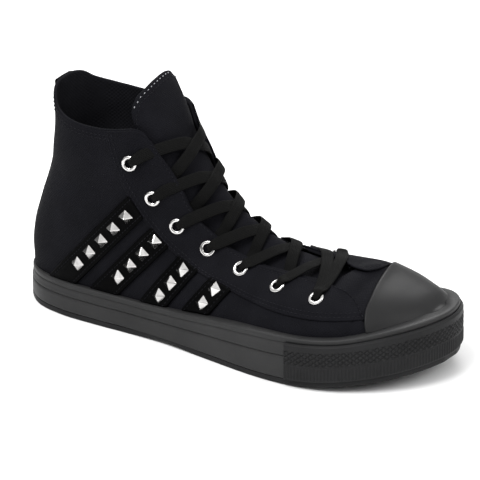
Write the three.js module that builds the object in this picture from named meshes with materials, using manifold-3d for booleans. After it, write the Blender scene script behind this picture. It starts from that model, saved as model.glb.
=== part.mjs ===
// A high top sneaker, the right shoe of a pair, standing empty on its sole.
// Millimetres. +X points to the toe, +Y to the inner (medial) side, +Z up.
// Below, x is measured from the back of the heel; the whole shoe is then moved so that its origin
// lies on the floor under the middle of its box.

import * as THREE from "three";
import { mergeVertices } from "three/addons/utils/BufferGeometryUtils.js";
import Module from "manifold-3d";

const wasm = await Module();
wasm.setup();

// Driving dimensions
const LENGTH = 268;            // outsole, heel to toe
const GAP = 0.3;               // clearance between neighbouring pieces
const WALL = 2.0;              // canvas and lining of the upper
const TOE_SPRING = 10.5;       // lift of the outsole's tip
const TOE_SPRING_START = 172;  // where the forefoot begins to rise
const HEEL_SPRING = 2.5;       // lift of the outsole's back edge
const HEEL_SPRING_END = 16;
const ARCH_LIFT = 1.4;         // hollow under the arch
const ARCH_FROM = 78;
const ARCH_TO = 142;
const TREAD = 3.2;             // thickness of the outsole's edge
const FEATHER = 9;             // height of the upper's lower edge over the underside
const RAISED = 1.0;            // thickness of the facings
const STRAP = 1.6;             // thickness of the straps
const RUBBER_CAP = 2.1;        // thickness of the toe cap
const TONGUE = 3.0;
const LACE_WIDTH = 7;
const LACE_THICK = 1.2;
const EYELET_HOLE = 2.5;       // radius
const EYELET_RIM = 4.65;       // radius
const STUD_SIDE = 6.3;
const STUD_HEIGHT = 3.6;
const WIDE = 90;               // reach of a cutter that passes right through

// Shaft and foot as fan-shaped sections, from above the collar to the tip of the toe.
// backX, backZ: a section's end at the heel or underfoot; frontX, frontZ: its end on the instep.
// backY, frontY: sideways place of those ends; half: half width; widest: where along it that lies;
// backPower, frontPower: squareness of each half of the outline.
const LAST_COLUMNS = [
  "backX", "backZ", "frontX", "frontZ", "backY", "frontY", "half", "widest", "backPower", "frontPower",
];
const LAST_ROWS = [
  [17.5, 152, 78, 152, 0, 0, 31.0, 0.44, 2.3, 2.9],
  [17.5, 131, 96, 125, 0, 0, 31.2, 0.42, 2.3, 2.8],
  [18.5, 114, 104, 109, 0, 0, 31.5, 0.42, 2.3, 2.6],
  [17.5, 98, 112, 98, 0, 0, 32.0, 0.42, 2.3, 2.4],
  [14.2, 80, 121, 88, 0, 0, 32.0, 0.40, 2.3, 2.1],
  [7.6, 60, 129, 80, 0, 0, 31.5, 0.38, 2.35, 1.9],
  [2.6, 42, 138, 73.5, 0, 0, 31.0, 0.37, 2.5, 1.8],
  [2.0, 26, 146, 69, 0, 0, 30.8, 0.36, 2.5, 1.8],
  [7.0, 6, 154, 65, -0.5, 0, 31.0, 0.34, 2.5, 1.8],
  [40, 3, 161, 62, -2, 0, 31.3, 0.31, 3.2, 1.8],
  [90, 3, 169, 59.5, -4, 0, 32.0, 0.30, 3.6, 1.8],
  [130, 3, 178, 57.5, -5.5, 0, 35.8, 0.30, 4.0, 1.9],
  [160, 3, 190, 56, -4.5, 0, 41.5, 0.33, 4.0, 2.0],
  [185, 3.5, 203, 55.5, -3, 0.5, 45.5, 0.35, 4.0, 2.0],
  [207, 5, 216, 54.5, 0, 1, 46.0, 0.38, 3.6, 2.1],
  [226, 7.5, 229, 49.5, 3, 3, 43.0, 0.40, 3.4, 2.28],
  [241, 10.5, 241, 46, 5, 5, 35.5, 0.42, 3.2, 2.28],
  [251, 13.5, 251, 42.5, 8.2, 8.2, 26.0, 0.44, 3.0, 2.28],
  [257.5, 17, 257.5, 37.8, 9.0, 9.0, 16.0, 0.46, 2.6, 2.28],
  [261.4, 23, 261.8, 36, 9.0, 9.0, 7.5, 0.48, 2.2, 2.2],
];
const LAST_END = LAST_ROWS.length - 1;
const POINTS_PER_RING = 24;

// The outsole seen from above: x, and the distance of its outer and inner edge from the heel's axis
const SOLE_ROWS = [
  [2.5, 12, 12], [9, 21, 21], [19, 28.5, 28.5], [37, 34, 33.5], [60, 36, 34.5], [85, 37, 33],
  [110, 39.5, 32], [140, 44.5, 34.5], [167, 49.5, 41], [190, 52, 47.5], [208, 51.5, 50.5],
  [225, 47, 51], [242, 37, 47], [254, 25.5, 39.5], [262, 13, 30], [266.5, 1, 19],
];
const SOLE_TIP = [LENGTH, 9];
const SOLE_POINTS = 46;

// The throat between the facings: distance along the instep's slope, reach to the outer and to the inner side
const THROAT_ROWS = [
  [-70, 29, 29], [-21, 24.5, 24.5], [0, 21.5, 21.5], [20, 19, 19], [40, 17, 17], [62, 16, 15.5],
  [82, 17.5, 12], [100, 19, 5],
];
const THROAT_END = 110;
const SLOPE = Math.PI / 4;     // the instep's mean slope
const INSTEP_DEPTH = [124, 210];   // reach of the instep's cuts, square to that slope

// The facings seen from the side, x and z: the lower seam that both share from the collar forward,
// then the front of the outer one, rounded, and of the inner one, which runs over the instep
const FACING_SEAM = [
  [60, 145], [66, 116], [73, 96], [80.5, 81], [92, 64], [110, 49], [133, 41], [157, 37.6], [185, 37],
];
const OUTER_FACING = [
  ...FACING_SEAM, [220, 39], [235, 39.8], [231.8, 42.5], [227.6, 46.4], [221.9, 49.6], [214.8, 51.6],
  [198, 53.2],
  [192, 75], [110, 145],
];
const INNER_FACING = [...FACING_SEAM, [205, 39.6], [216.5, 41], [240, 75], [110, 145]];
// the inner facing's front from above, x and y, from its seam to its edge along the throat
const INNER_FACING_FRONT = [
  [216.5, 60], [216.5, 39.5], [218.5, 28], [219.8, 20], [220.9, 13.7], [220.6, 8.6], [219.7, 3.4],
  [217.9, -0.8],
  [213.8, -1.7], [209, 0],
];

// Eyelets from the collar down, x and z on each side of the shoe
const EYELET_ROWS = [[81.5, 101], [94.4, 81.5], [108, 66], [126.7, 55.5], [149.6, 48.5]];
const EYELETS = [
  { side: -1, places: [...EYELET_ROWS, [177.8, 46.3], [205.4, 46.3]] },
  { side: 1, places: [...EYELET_ROWS, [168, 46.6], [190, 52]] },
];
const LOWEST_ROW = EYELET_ROWS.length + 1;

// Straps on the outer side: the middle of the first stud, the run to the next one, the number of studs
const STRAP_WIDTH = 13.5;
const STRAP_ROWS = [
  { x: 47.1, z: 33.6, runX: 7.9, runZ: 8.7, studs: 5 },
  { x: 74.2, z: 30.9, runX: 7.2, runZ: 8.2, studs: 4 },
  { x: 103.0, z: 26.3, runX: 5.7, runZ: 8.0, studs: 3 },
  { x: 132.7, z: 28.6, runX: 5.7, runZ: 7.9, studs: 2 },
];
const HEEL_STUD_HEIGHTS = [95, 77.5, 60, 42.5];
const HEEL_STRIP_WIDTH = 15;

const UP = new THREE.Vector3(0, 0, 1);
const SIDEWAYS = new THREE.Vector3(0, 1, 0);
const FORWARD = new THREE.Vector3(1, 0, 0);
const DOWN_SLOPE = new THREE.Vector3(Math.cos(SLOPE), 0, -Math.sin(SLOPE));
const OFF_SLOPE = new THREE.Vector3(Math.sin(SLOPE), 0, Math.cos(SLOPE));

// a closed geometry as a solid that can be joined and cut
function solid(geometry) {
  const plain = geometry.index ? geometry.toNonIndexed() : geometry.clone();
  plain.deleteAttribute("normal");
  plain.deleteAttribute("uv");
  const merged = mergeVertices(plain, 1e-4);
  return new wasm.Manifold(new wasm.Mesh({
    numProp: 3,
    vertProperties: new Float32Array(merged.attributes.position.array),
    triVerts: new Uint32Array(merged.index.array),
  }));
}

function joined(solids) {
  return solids.reduce((all, next) => all.add(next));
}

// the main body of a solid that a cut has left with a crumb
function largest(made) {
  return made.decompose().reduce((most, next) => (next.volume() > most.volume() ? next : most));
}

// rings of equal length as one closed solid, its two ends closed by a fan
function ringsSolid(rings) {
  const around = rings[0].length;
  const points = rings.flat();
  const faces = [];
  for (let r = 0; r + 1 < rings.length; r++) {
    for (let i = 0; i < around; i++) {
      const next = (i + 1) % around;
      const [a, b] = [r * around + i, r * around + next];
      const [c, d] = [b + around, a + around];
      faces.push(a, b, c, a, c, d);
    }
  }
  const middle = (ring) => ring.reduce((sum, p) => sum.add(p), new THREE.Vector3()).divideScalar(around);
  const first = points.push(middle(rings[0])) - 1;
  const last = points.push(middle(rings[rings.length - 1])) - 1;
  const lastRow = (rings.length - 1) * around;
  for (let i = 0; i < around; i++) {
    const next = (i + 1) % around;
    faces.push(first, next, i, last, lastRow + i, lastRow + next);
  }
  return pointsSolid(points, faces);
}

// rings that follow each other round a closed way, as one closed solid
function loopSolid(rings) {
  const around = rings[0].length;
  const faces = [];
  rings.forEach((ring, r) => {
    const follow = (r + 1) % rings.length;
    for (let i = 0; i < around; i++) {
      const next = (i + 1) % around;
      const [a, b] = [r * around + i, r * around + next];
      const [c, d] = [follow * around + next, follow * around + i];
      faces.push(a, b, c, a, c, d);
    }
  });
  return pointsSolid(rings.flat(), faces);
}

function pointsSolid(points, faces) {
  const geometry = new THREE.BufferGeometry();
  geometry.setAttribute("position", new THREE.Float32BufferAttribute(points.flatMap((p) => p.toArray()), 3));
  geometry.setIndex(faces);
  const made = solid(geometry);
  if (made.volume() > 0) return made;
  const turned = [];
  for (let i = 0; i < faces.length; i += 3) turned.push(faces[i], faces[i + 2], faces[i + 1]);
  geometry.setIndex(turned);
  return solid(geometry);
}

// an outline of [u, v] points pushed along w from one place to another
function prism(outline, u, v, w, from, to) {
  const shape = new THREE.Shape(outline.map((p) => new THREE.Vector2(p[0], p[1])));
  const geometry = new THREE.ExtrudeGeometry(shape, { depth: to - from, bevelEnabled: false });
  geometry.applyMatrix4(new THREE.Matrix4().makeBasis(u, v, w).setPosition(w.clone().multiplyScalar(from)));
  return solid(geometry);
}

const fromAbove = (outline, low, high) => prism(outline, FORWARD, SIDEWAYS, UP, low, high);

// a side view's outline of [x, z] points, cut through from the outer side y = from to y = to
function fromSide(outline, from, to) {
  return prism(outline, FORWARD, UP, SIDEWAYS.clone().negate(), -to, -from);
}

// reads a table's columns at a place between its rows, on a smooth curve through them
function columnsAt(rows, place) {
  const index = Math.min(Math.floor(place), rows.length - 2);
  const t = place - index;
  const row = (i) => rows[Math.max(0, Math.min(rows.length - 1, i))];
  const [w, a, b, z] = [row(index - 1), row(index), row(index + 1), row(index + 2)];
  const [t2, t3] = [t * t, t * t * t];
  return a.map((value, c) => (2 * t3 - 3 * t2 + 1) * value + ((t3 - 2 * t2 + t) * (b[c] - w[c])) / 2
    + (3 * t2 - 2 * t3) * b[c] + ((t3 - t2) * (z[c] - value)) / 2);
}

// a point of the last: place counts the table's rows, angle turns round the section from its back end
function lastPoint(place, angle) {
  const values = columnsAt(LAST_ROWS, place);
  const s = Object.fromEntries(LAST_COLUMNS.map((name, i) => [name, values[i]]));
  const along = -Math.cos(angle);
  const sideways = Math.sin(angle);
  const power = along < 0 ? s.backPower : s.frontPower;
  const reach = along < 0 ? s.widest : 1 - s.widest;
  const share = s.widest + Math.sign(along) * reach * Math.abs(along) ** (2 / power);
  const width = s.half * Math.sign(sideways) * Math.abs(sideways) ** (2 / power);
  return new THREE.Vector3(
    s.backX + (s.frontX - s.backX) * share,
    s.backY + (s.frontY - s.backY) * share + width,
    s.backZ + (s.frontZ - s.backZ) * share,
  );
}

// the direction straight out of the last's surface
function outward(place, angle) {
  const step = 0.01;
  const low = Math.max(0, place - step);
  const high = Math.min(LAST_END, place + step);
  const alongRows = lastPoint(high, angle).sub(lastPoint(low, angle));
  const round = lastPoint(place, angle + step).sub(lastPoint(place, angle - step));
  return new THREE.Vector3().crossVectors(round, alongRows).normalize();
}

// the last with its surface moved out, or in, by a distance
const lastSolids = new Map();
function lastSolid(out) {
  if (lastSolids.has(out)) return lastSolids.get(out);
  const rings = LAST_ROWS.map((_, place) => Array.from({ length: POINTS_PER_RING }, (_point, i) => {
    const angle = (2 * Math.PI * i) / POINTS_PER_RING;
    return lastPoint(place, angle).addScaledVector(outward(place, angle), out);
  }));
  lastSolids.set(out, ringsSolid(rings));
  return lastSolids.get(out);
}

const layer = (inner, outer) => lastSolid(outer).subtract(lastSolid(inner));

// the last's point that lies at the given distances along two directions, on the side that faces a third
function onLast(u, v, alongU, alongV, facing) {
  let best = { place: LAST_END / 2, angle: Math.PI, miss: Infinity };
  let [spanPlace, spanAngle] = [LAST_END / 2, Math.PI];
  for (let round = 0; round < 7; round++) {
    const centre = { ...best };
    const cells = round === 0 ? 40 : 8;
    for (let i = -cells; i <= cells; i++) {
      for (let j = -cells; j <= cells; j++) {
        const place = Math.min(LAST_END, Math.max(0, centre.place + (spanPlace * i) / cells));
        const angle = centre.angle + (spanAngle * j) / cells;
        const point = lastPoint(place, angle);
        const miss = Math.hypot(point.dot(alongU) - u, point.dot(alongV) - v);
        if (miss >= best.miss) continue;
        if (outward(place, angle).dot(facing) > 0) best = { place, angle, miss };
      }
    }
    const shrink = round === 0 ? 20 : 4;
    spanPlace /= shrink;
    spanAngle /= shrink;
  }
  return best;
}

// a seat on the side of the shoe: point and outward direction at x and z, side -1 outer, 1 inner
function sideSeat(x, z, side) {
  const { place, angle } = onLast(x, z, FORWARD, UP, SIDEWAYS.clone().multiplyScalar(side));
  return { point: lastPoint(place, angle), normal: outward(place, angle) };
}

// a seat on the instep at a distance down its slope and sideways
function instepSeat(s, y) {
  const { place, angle } = onLast(s, y, DOWN_SLOPE, SIDEWAYS, OFF_SLOPE);
  return { point: lastPoint(place, angle), normal: outward(place, angle) };
}

const lifted = (seat, out) => seat.point.clone().addScaledVector(seat.normal, out);

// heights of the sole along the shoe
function underside(station) {
  const x = THREE.MathUtils.clamp(station, 0, LENGTH);
  const toe = Math.max(0, (x - TOE_SPRING_START) / (LENGTH - TOE_SPRING_START));
  const heel = Math.max(0, (HEEL_SPRING_END - x) / HEEL_SPRING_END);
  const inArch = x > ARCH_FROM && x < ARCH_TO;
  const arch = inArch ? Math.sin((Math.PI * (x - ARCH_FROM)) / (ARCH_TO - ARCH_FROM)) ** 2 : 0;
  return TOE_SPRING * toe * toe + HEEL_SPRING * heel * heel + ARCH_LIFT * arch;
}
const spring = (x) => underside(x < TOE_SPRING_START ? HEEL_SPRING_END : x);
const featherHeight = (x) => FEATHER + spring(x);
const FOXING_HEEL = 20.5;
const FOXING_TOE = 28;
const FOXING_RISE_FROM = 90;
const FOXING_RISE_TO = 195;
const FOXING_TIP = [225, 255];
const FOXING_TIP_RISE = 1.5;
function foxingTop(x) {
  const share = THREE.MathUtils.smoothstep(x, FOXING_RISE_FROM, FOXING_RISE_TO);
  const atTip = FOXING_TIP_RISE * THREE.MathUtils.smoothstep(x, ...FOXING_TIP);
  return FOXING_HEEL + (FOXING_TOE - FOXING_HEEL) * share + atTip + spring(x) * 0.9;
}
const grooveHeight = (x) => spring(x) + (foxingTop(x) - spring(x)) * 0.6;

// places along the shoe where a height that changes is worked out
const BEHIND = -10;
const AHEAD = LENGTH + 10;
const TOE_STATIONS = [TOE_SPRING_START, 190, 207, 224, 240, 254, LENGTH, AHEAD];
const SPRING_STATIONS = [BEHIND, ...TOE_STATIONS];
const UNDERSIDE_STATIONS = [BEHIND, 0, 7, HEEL_SPRING_END, ARCH_FROM, 92, 110, 128, ARCH_TO, ...TOE_STATIONS];
const FOXING_STATIONS = [BEHIND, FOXING_RISE_FROM, 112, 132, 152, ...TOE_STATIONS];

// everything between two heights, each worked out at its own places along the shoe
function slab(low, lowStations, high, highStations) {
  const lower = lowStations.map((x) => [x, low(x)]);
  const upper = highStations.map((x) => [x, high(x)]).reverse();
  return fromSide([...lower, ...upper], -WIDE, WIDE);
}
const ENDS = [BEHIND, AHEAD];
const above = (low, stations) => slab(low, stations, () => 260, ENDS);

// the sole's outline moved in by a distance, as points with their place on the outline
const soleCurve = new THREE.CatmullRomCurve3([
  new THREE.Vector3(0, 0, 0),
  ...SOLE_ROWS.map(([x, outer]) => new THREE.Vector3(x, -outer, 0)),
  new THREE.Vector3(...SOLE_TIP, 0),
  ...SOLE_ROWS.map(([x, , inner]) => new THREE.Vector3(x, inner, 0)).reverse(),
], true, "centripetal");
soleCurve.arcLengthDivisions = 600;
const soleStations = Array.from({ length: SOLE_POINTS }, (_, i) => {
  const at = soleCurve.getPointAt(i / SOLE_POINTS);
  const way = soleCurve.getTangentAt(i / SOLE_POINTS);
  return { at, inward: new THREE.Vector3(-way.y, way.x, 0) };
});
const soleOutline = (inset) => soleStations.map(({ at, inward }) => {
  const p = at.clone().addScaledVector(inward, inset);
  return [p.x, p.y];
});

// a profile of [inset, height] points, worked out at each x, carried round the sole's outline
function soleBand(profile) {
  return loopSolid(soleStations.map(({ at, inward }) => profile(at.x).map(([inset, z]) => {
    const p = at.clone().addScaledVector(inward, inset);
    return new THREE.Vector3(p.x, p.y, z);
  })));
}

// cuts that several pieces share
const throat = (() => {
  const [last, outer, inner] = THROAT_ROWS[THROAT_ROWS.length - 1];
  const end = Array.from({ length: 5 }, (_, i) => {
    const turn = -Math.PI / 2 + (Math.PI * (i + 0.5)) / 5;
    const across = (inner - outer) / 2 + ((inner + outer) / 2) * Math.sin(turn);
    return [last + (THROAT_END - last) * Math.cos(turn), across];
  });
  const outerEdge = THROAT_ROWS.map(([s, reach]) => [s, -reach]);
  const innerEdge = THROAT_ROWS.map(([s, , reach]) => [s, reach]).reverse();
  const outline = [...outerEdge, ...end, ...innerEdge];
  return prism(outline, DOWN_SLOPE, SIDEWAYS, OFF_SLOPE, ...INSTEP_DEPTH);
})();

// everything above the collar's edge, which dips at the sides and rises to the heel and the facings
const RIM = [
  [-10, 133], [17, 131.5], [25, 124.5], [34, 121], [46, 119], [62, 118.6], [72, 119.6], [83, 121],
  [88, 119], [93, 113], [110, 113],
];
const RIM_TILT = THREE.MathUtils.degToRad(2.5);
const aboveRim = (() => {
  const cut = fromSide([...RIM, [110, 190], [-10, 190]], -WIDE, WIDE);
  const turn = new THREE.Matrix4().makeTranslation(0, 0, RIM[5][1])
    .multiply(new THREE.Matrix4().makeRotationX(RIM_TILT))
    .multiply(new THREE.Matrix4().makeTranslation(0, 0, -RIM[5][1]));
  return cut.transform(turn.toArray());
})();

const eyeletSeats = EYELETS.flatMap(({ side, places }) => (
  places.map(([x, z], row) => ({ ...sideSeat(x, z, side), side, row }))
));
const turnFromY = (direction) =>
  new THREE.Quaternion().setFromUnitVectors(new THREE.Vector3(0, 1, 0), direction);

function cylinderAt(seat, radius, low, high, sides) {
  const geometry = new THREE.CylinderGeometry(radius, radius, high - low, sides);
  geometry.translate(0, (low + high) / 2, 0);
  geometry.applyQuaternion(turnFromY(seat.normal));
  geometry.translate(...seat.point.toArray());
  return solid(geometry);
}
const EYELET_SIDES = 8;
const eyeletHole = (seat) => cylinderAt(seat, EYELET_HOLE + 0.5 + GAP, -6, 6, EYELET_SIDES);
const eyeletHoles = joined(eyeletSeats.map(eyeletHole));

const pieces = [];
function add(name, made, material) {
  pieces.push({ name, made, material });
}

const material = (color, roughness, metalness = 0) =>
  new THREE.MeshStandardMaterial({ color, roughness, metalness });
const CANVAS = material(0x1b1b20, 0.9);
const RUBBER = material(0x3c3c3f, 0.55);
const CAP_RUBBER = material(0x404043, 0.45);
const SATIN = material(0x0b0b0c, 0.5);
const LINING = material(0x141417, 0.95);
const LACE = material(0x242426, 0.85);
const METAL = material(0xd8d8da, 0.25, 1);

function makeUpper() {
  const wall = layer(-WALL, 0).intersect(above(featherHeight, SPRING_STATIONS));
  return wall.subtract(throat).subtract(aboveRim).subtract(eyeletHoles);
}

function makeInsole() {
  const top = (x) => featherHeight(x) + 3.5;
  return lastSolid(-WALL - GAP).intersect(slab(featherHeight, SPRING_STATIONS, top, SPRING_STATIONS));
}

const TONGUE_LOW = 35;         // nothing of the tongue lies lower than this
const TONGUE_HIGH = 139;
// where the tongue is sewn under the vamp, in front of the throat
const TONGUE_SEAM = [[112, -13], [117, -13], [117, 13], [112, 13]];
const TONGUE_OUT = -WALL - LACE_THICK - 2 * GAP;
function makeTongue() {
  const outline = [[-41, -18], [-37, -24], [-30, -27], [-10, -27], [20, -25], [60, -21], [100, -19],
    [118, -17],
    [118, 17], [100, 19], [60, 21], [20, 25], [-20, 28], [-40, 27.5], [-43, 25], [-45, 12], [-44, -6]];
  const cutOut = (shape) => prism(shape, DOWN_SLOPE, SIDEWAYS, OFF_SLOPE, ...INSTEP_DEPTH);
  const sheet = layer(TONGUE_OUT - TONGUE, TONGUE_OUT).intersect(cutOut(outline));
  const seam = layer(TONGUE_OUT - 1, -WALL - GAP).intersect(cutOut(TONGUE_SEAM));
  return sheet.add(seam).intersect(slab(() => TONGUE_LOW, ENDS, () => TONGUE_HIGH, ENDS));
}

// grooves across the tread, under the heel and the forefoot
const GROOVE_DEEP = 1.5;
const GROOVE_WIDE = 2.4;
const GROOVE_PITCH = 9;
const TREAD_ZONES = [[14, 72], [150, 246]];
function treadGrooves() {
  const bars = [];
  for (const [from, to] of TREAD_ZONES) {
    for (let x = from; x < to; x += GROOVE_PITCH) {
      const box = new THREE.BoxGeometry(GROOVE_WIDE, 2 * WIDE, 30);
      box.translate(x, 0, underside(x) + GROOVE_DEEP - 15);
      bars.push(solid(box));
    }
  }
  return joined(bars).intersect(fromAbove(soleOutline(9), -20, 30));
}

const CORE_INSET = 10;
function makeOutsole() {
  const top = (x) => spring(x) + TREAD;
  const block = slab(underside, UNDERSIDE_STATIONS, top, SPRING_STATIONS);
  const edge = fromAbove(soleOutline(0.5), -5, 40).intersect(block);
  const rise = slab((x) => top(x) - 1, SPRING_STATIONS, (x) => featherHeight(x) - GAP, SPRING_STATIONS);
  const core = fromAbove(soleOutline(CORE_INSET), -5, 40).intersect(rise);
  return edge.add(core).subtract(treadGrooves());
}

function makeFoxing() {
  const band = soleBand((x) => {
    const [low, groove, top] = [spring(x) + TREAD + GAP, grooveHeight(x), foxingTop(x)];
    return [
      [CORE_INSET - GAP, low], [0, low], [0, groove - 1], [1, groove],
      [0.2, groove + 1], [0.9, top], [CORE_INSET - GAP, top],
    ];
  });
  const room = lastSolid(GAP).intersect(above((x) => featherHeight(x) - GAP, SPRING_STATIONS));
  const overFoxing = above((x) => foxingTop(x) + GAP, FOXING_STATIONS);
  const capRoom = lastSolid(2 * GAP + RUBBER_CAP).intersect(overFoxing);
  return largest(band.subtract(room).subtract(capRoom));
}

const BUMPER_FROM = [197, 188];   // x where the bumper starts on the outer and the inner side
const BUMPER_DROP = 2.8;          // how far its top lies under the foxing's
function makeBumper() {
  const band = soleBand((x) => {
    const [low, top] = [spring(x) + TREAD + GAP, foxingTop(x) - BUMPER_DROP];
    return [[-GAP, low], [-1.3, low], [-1.5, low + 2], [-1.5, top - 1], [-0.9, top], [-GAP, top]];
  });
  const [outer, inner] = BUMPER_FROM;
  const front = [[outer, -WIDE], [outer, 0], [inner, 0], [inner, WIDE], [300, WIDE], [300, -WIDE]];
  return band.intersect(fromAbove(front, -5, 60));
}

// rear edge of the toe cap from above, x and y from the outer to the inner side
const CAP_EDGE = [
  [243, -60], [239.4, -33.8], [236.7, -31.2], [234.3, -25], [232.4, -16.7], [229.5, -6], [227.2, 3.5],
  [224, 16], [221.8, 23], [218.1, 32.6], [211, 60],
];
const CAP_FRONT = [[300, 60], [300, -60]];
function makeToeCap() {
  return layer(GAP, GAP + RUBBER_CAP).intersect(fromAbove([...CAP_EDGE, ...CAP_FRONT], 0, 90))
    .intersect(aboveFoxing());
}

const behindCap = (clear) =>
  fromAbove([...CAP_EDGE.map(([x, y]) => [x - clear, y]), [-20, 60], [-20, -60]], -10, 200);
const aboveFoxing = () => above((x) => foxingTop(x) + 2 * GAP, FOXING_STATIONS);

const outerFacingRoom = () => fromSide(OUTER_FACING, -WIDE, 0);
function innerFacingRoom() {
  const front = fromAbove([[-20, 0], [-20, WIDE], ...INNER_FACING_FRONT], 0, 200);
  return fromSide(INNER_FACING, -WIDE, WIDE).intersect(front);
}

function makeFacing(room) {
  return layer(GAP, GAP + RAISED).intersect(room).intersect(behindCap(GAP))
    .subtract(throat).subtract(aboveRim).subtract(eyeletHoles);
}

function makeHeelStrip() {
  const half = HEEL_STRIP_WIDTH / 2;
  const strip = fromAbove([[-20, -half], [45, -half], [45, half], [-20, half]], 0, 200);
  return layer(GAP, GAP + STRAP).intersect(strip).intersect(aboveFoxing()).subtract(aboveRim);
}

function makeStrap({ x, z, runX, runZ }, facing) {
  const way = new THREE.Vector2(runX, runZ).normalize();
  const across = new THREE.Vector2(-way.y, way.x).multiplyScalar(STRAP_WIDTH / 2);
  const corner = (along, sign) => [x + way.x * along + across.x * sign, z + way.y * along + across.y * sign];
  const outline = [corner(-40, -1), corner(90, -1), corner(90, 1), corner(-40, 1)];
  const strap = layer(GAP, GAP + STRAP).intersect(fromSide(outline, -WIDE, -5)).intersect(aboveFoxing());
  return strap.subtract(facing);
}

// a four-sided stud whose sides follow a direction
function pyramid(seat, way) {
  const geometry = new THREE.ConeGeometry(STUD_SIDE / Math.SQRT2, STUD_HEIGHT, 4, 1);
  geometry.rotateX(Math.PI / 2);
  geometry.rotateZ(Math.PI / 4);
  geometry.translate(0, 0, STUD_HEIGHT / 2);
  const across = new THREE.Vector3().crossVectors(seat.normal, way).normalize();
  const along = new THREE.Vector3().crossVectors(across, seat.normal);
  const at = lifted(seat, GAP + STRAP + GAP + 0.1);
  geometry.applyMatrix4(new THREE.Matrix4().makeBasis(along, across, seat.normal).setPosition(at));
  return solid(geometry);
}

// a rolled metal ring with a short barrel through the facing and the upper
const EYELET_SEAT = RAISED + 3.3 * GAP;
function makeEyelet(seat) {
  const profile = [[0, -3.4], [0.5, -3.4], [0.5, 0], [EYELET_RIM - EYELET_HOLE, 0], [0, 1]]
    .map(([r, h]) => new THREE.Vector2(EYELET_HOLE + r, h));
  const geometry = new THREE.LatheGeometry([...profile, profile[0]], EYELET_SIDES);
  geometry.applyQuaternion(turnFromY(seat.normal));
  geometry.translate(...lifted(seat, EYELET_SEAT).toArray());
  return solid(geometry);
}

// places along a strip from eyelet to eyelet, and how far it has sunk there from the eyelet to the middle
const LACE_SHARES = [0, 0.12, 0.24, 0.36, 0.5, 0.64, 0.76, 0.88, 1];
const LACE_SINK = [0, 0.05, 0.3, 0.75, 1, 0.75, 0.3, 0.05, 0];
const LACE_TUCK = 0.3;         // a strip that comes from under a facing starts past this share

// one row of laces: two strips that cross, with the bar over the lowest pair of eyelets in the last row
function makeLaceRow(row) {
  const over = EYELET_SEAT + 1 + 3.5 * GAP + LACE_THICK / 2;
  const strips = [];
  const seatOf = (row, side) => eyeletSeats.find((seat) => seat.row === row && seat.side === side);
  const inSlope = (p) => [p.dot(DOWN_SLOPE), p.y];
  function strip(nearRow, side, farRow, high, tucked) {
    const start = seatOf(nearRow, side);
    const end = seatOf(farRow, -side);
    const [s0, y0] = inSlope(start.point);
    const [s1, y1] = inSlope(end.point);
    const points = [];
    const normals = [];
    LACE_SHARES.forEach((share, i) => {
      if (tucked && share < LACE_TUCK) return;
      const between = () => instepSeat(s0 + (s1 - s0) * share, y0 + (y1 - y0) * share);
      const seat = { 0: start, 1: end }[share] ?? between();
      points.push(lifted(seat, over + (high - over) * LACE_SINK[i]));
      normals.push(seat.normal);
    });
    strips.push(ribbon(points, normals));
  }
  const low = TONGUE_OUT + GAP + LACE_THICK / 2;
  const BAR_OUT = RAISED + 3.3 * GAP + LACE_THICK / 2;
  const lowest = row === LOWEST_ROW;
  strip(row, 1, row - 1, low + 2.8, true);
  strip(row, -1, row - 1, low + 3.1, !lowest);
  if (lowest) strip(row, -1, row, BAR_OUT, false);
  return joined(strips);
}

function ribbon(points, normals) {
  const rings = points.map((point, i) => {
    const next = points[Math.min(i + 1, points.length - 1)];
    const way = next.clone().sub(points[Math.max(i - 1, 0)]).normalize();
    const side = new THREE.Vector3().crossVectors(way, normals[i]).normalize();
    const up = new THREE.Vector3().crossVectors(side, way).normalize();
    return [[-1, -1], [1, -1], [1, 1], [-1, 1]].map(([a, b]) => point.clone()
      .addScaledVector(side, (a * LACE_WIDTH) / 2).addScaledVector(up, (b * LACE_THICK) / 2));
  });
  return ringsSolid(rings);
}

add("outsole", makeOutsole(), RUBBER);
add("foxing", makeFoxing(), RUBBER);
add("toe_bumper", makeBumper(), RUBBER);
add("upper", makeUpper(), CANVAS);
add("insole", makeInsole(), LINING);
add("tongue", makeTongue(), CANVAS);
add("toe_cap", makeToeCap(), CAP_RUBBER);
add("eyestay_lateral", makeFacing(outerFacingRoom()), CANVAS);
add("eyestay_medial", makeFacing(innerFacingRoom()), CANVAS);
add("heel_strip", makeHeelStrip(), SATIN);
STRAP_ROWS.forEach((row, s) => {
  add(`strap_${s + 1}`, makeStrap(row, outerFacingRoom()), SATIN);
  for (let n = 0; n < row.studs; n++) {
    const seat = sideSeat(row.x + n * row.runX, row.z + n * row.runZ, -1);
    add(`stud_${s + 1}_${n + 1}`, pyramid(seat, new THREE.Vector3(row.runX, 0, row.runZ)), METAL);
  }
});
HEEL_STUD_HEIGHTS.forEach((z, n) => {
  const { place, angle } = onLast(0, z, SIDEWAYS, UP, FORWARD.clone().negate());
  const seat = { point: lastPoint(place, angle), normal: outward(place, angle) };
  add(`heel_stud_${n + 1}`, pyramid(seat, UP), METAL);
});
eyeletSeats.forEach((seat) => {
  add(`eyelet_${seat.side < 0 ? "lateral" : "medial"}_${seat.row + 1}`, makeEyelet(seat), METAL);
});
for (let row = 1; row <= LOWEST_ROW; row++) add(`lace_row_${row}`, makeLaceRow(row), LACE);

const boxes = pieces.map(({ made }) => made.boundingBox());
const middleOf = (axis) =>
  (Math.min(...boxes.map((b) => b.min[axis])) + Math.max(...boxes.map((b) => b.max[axis]))) / 2;

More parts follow.
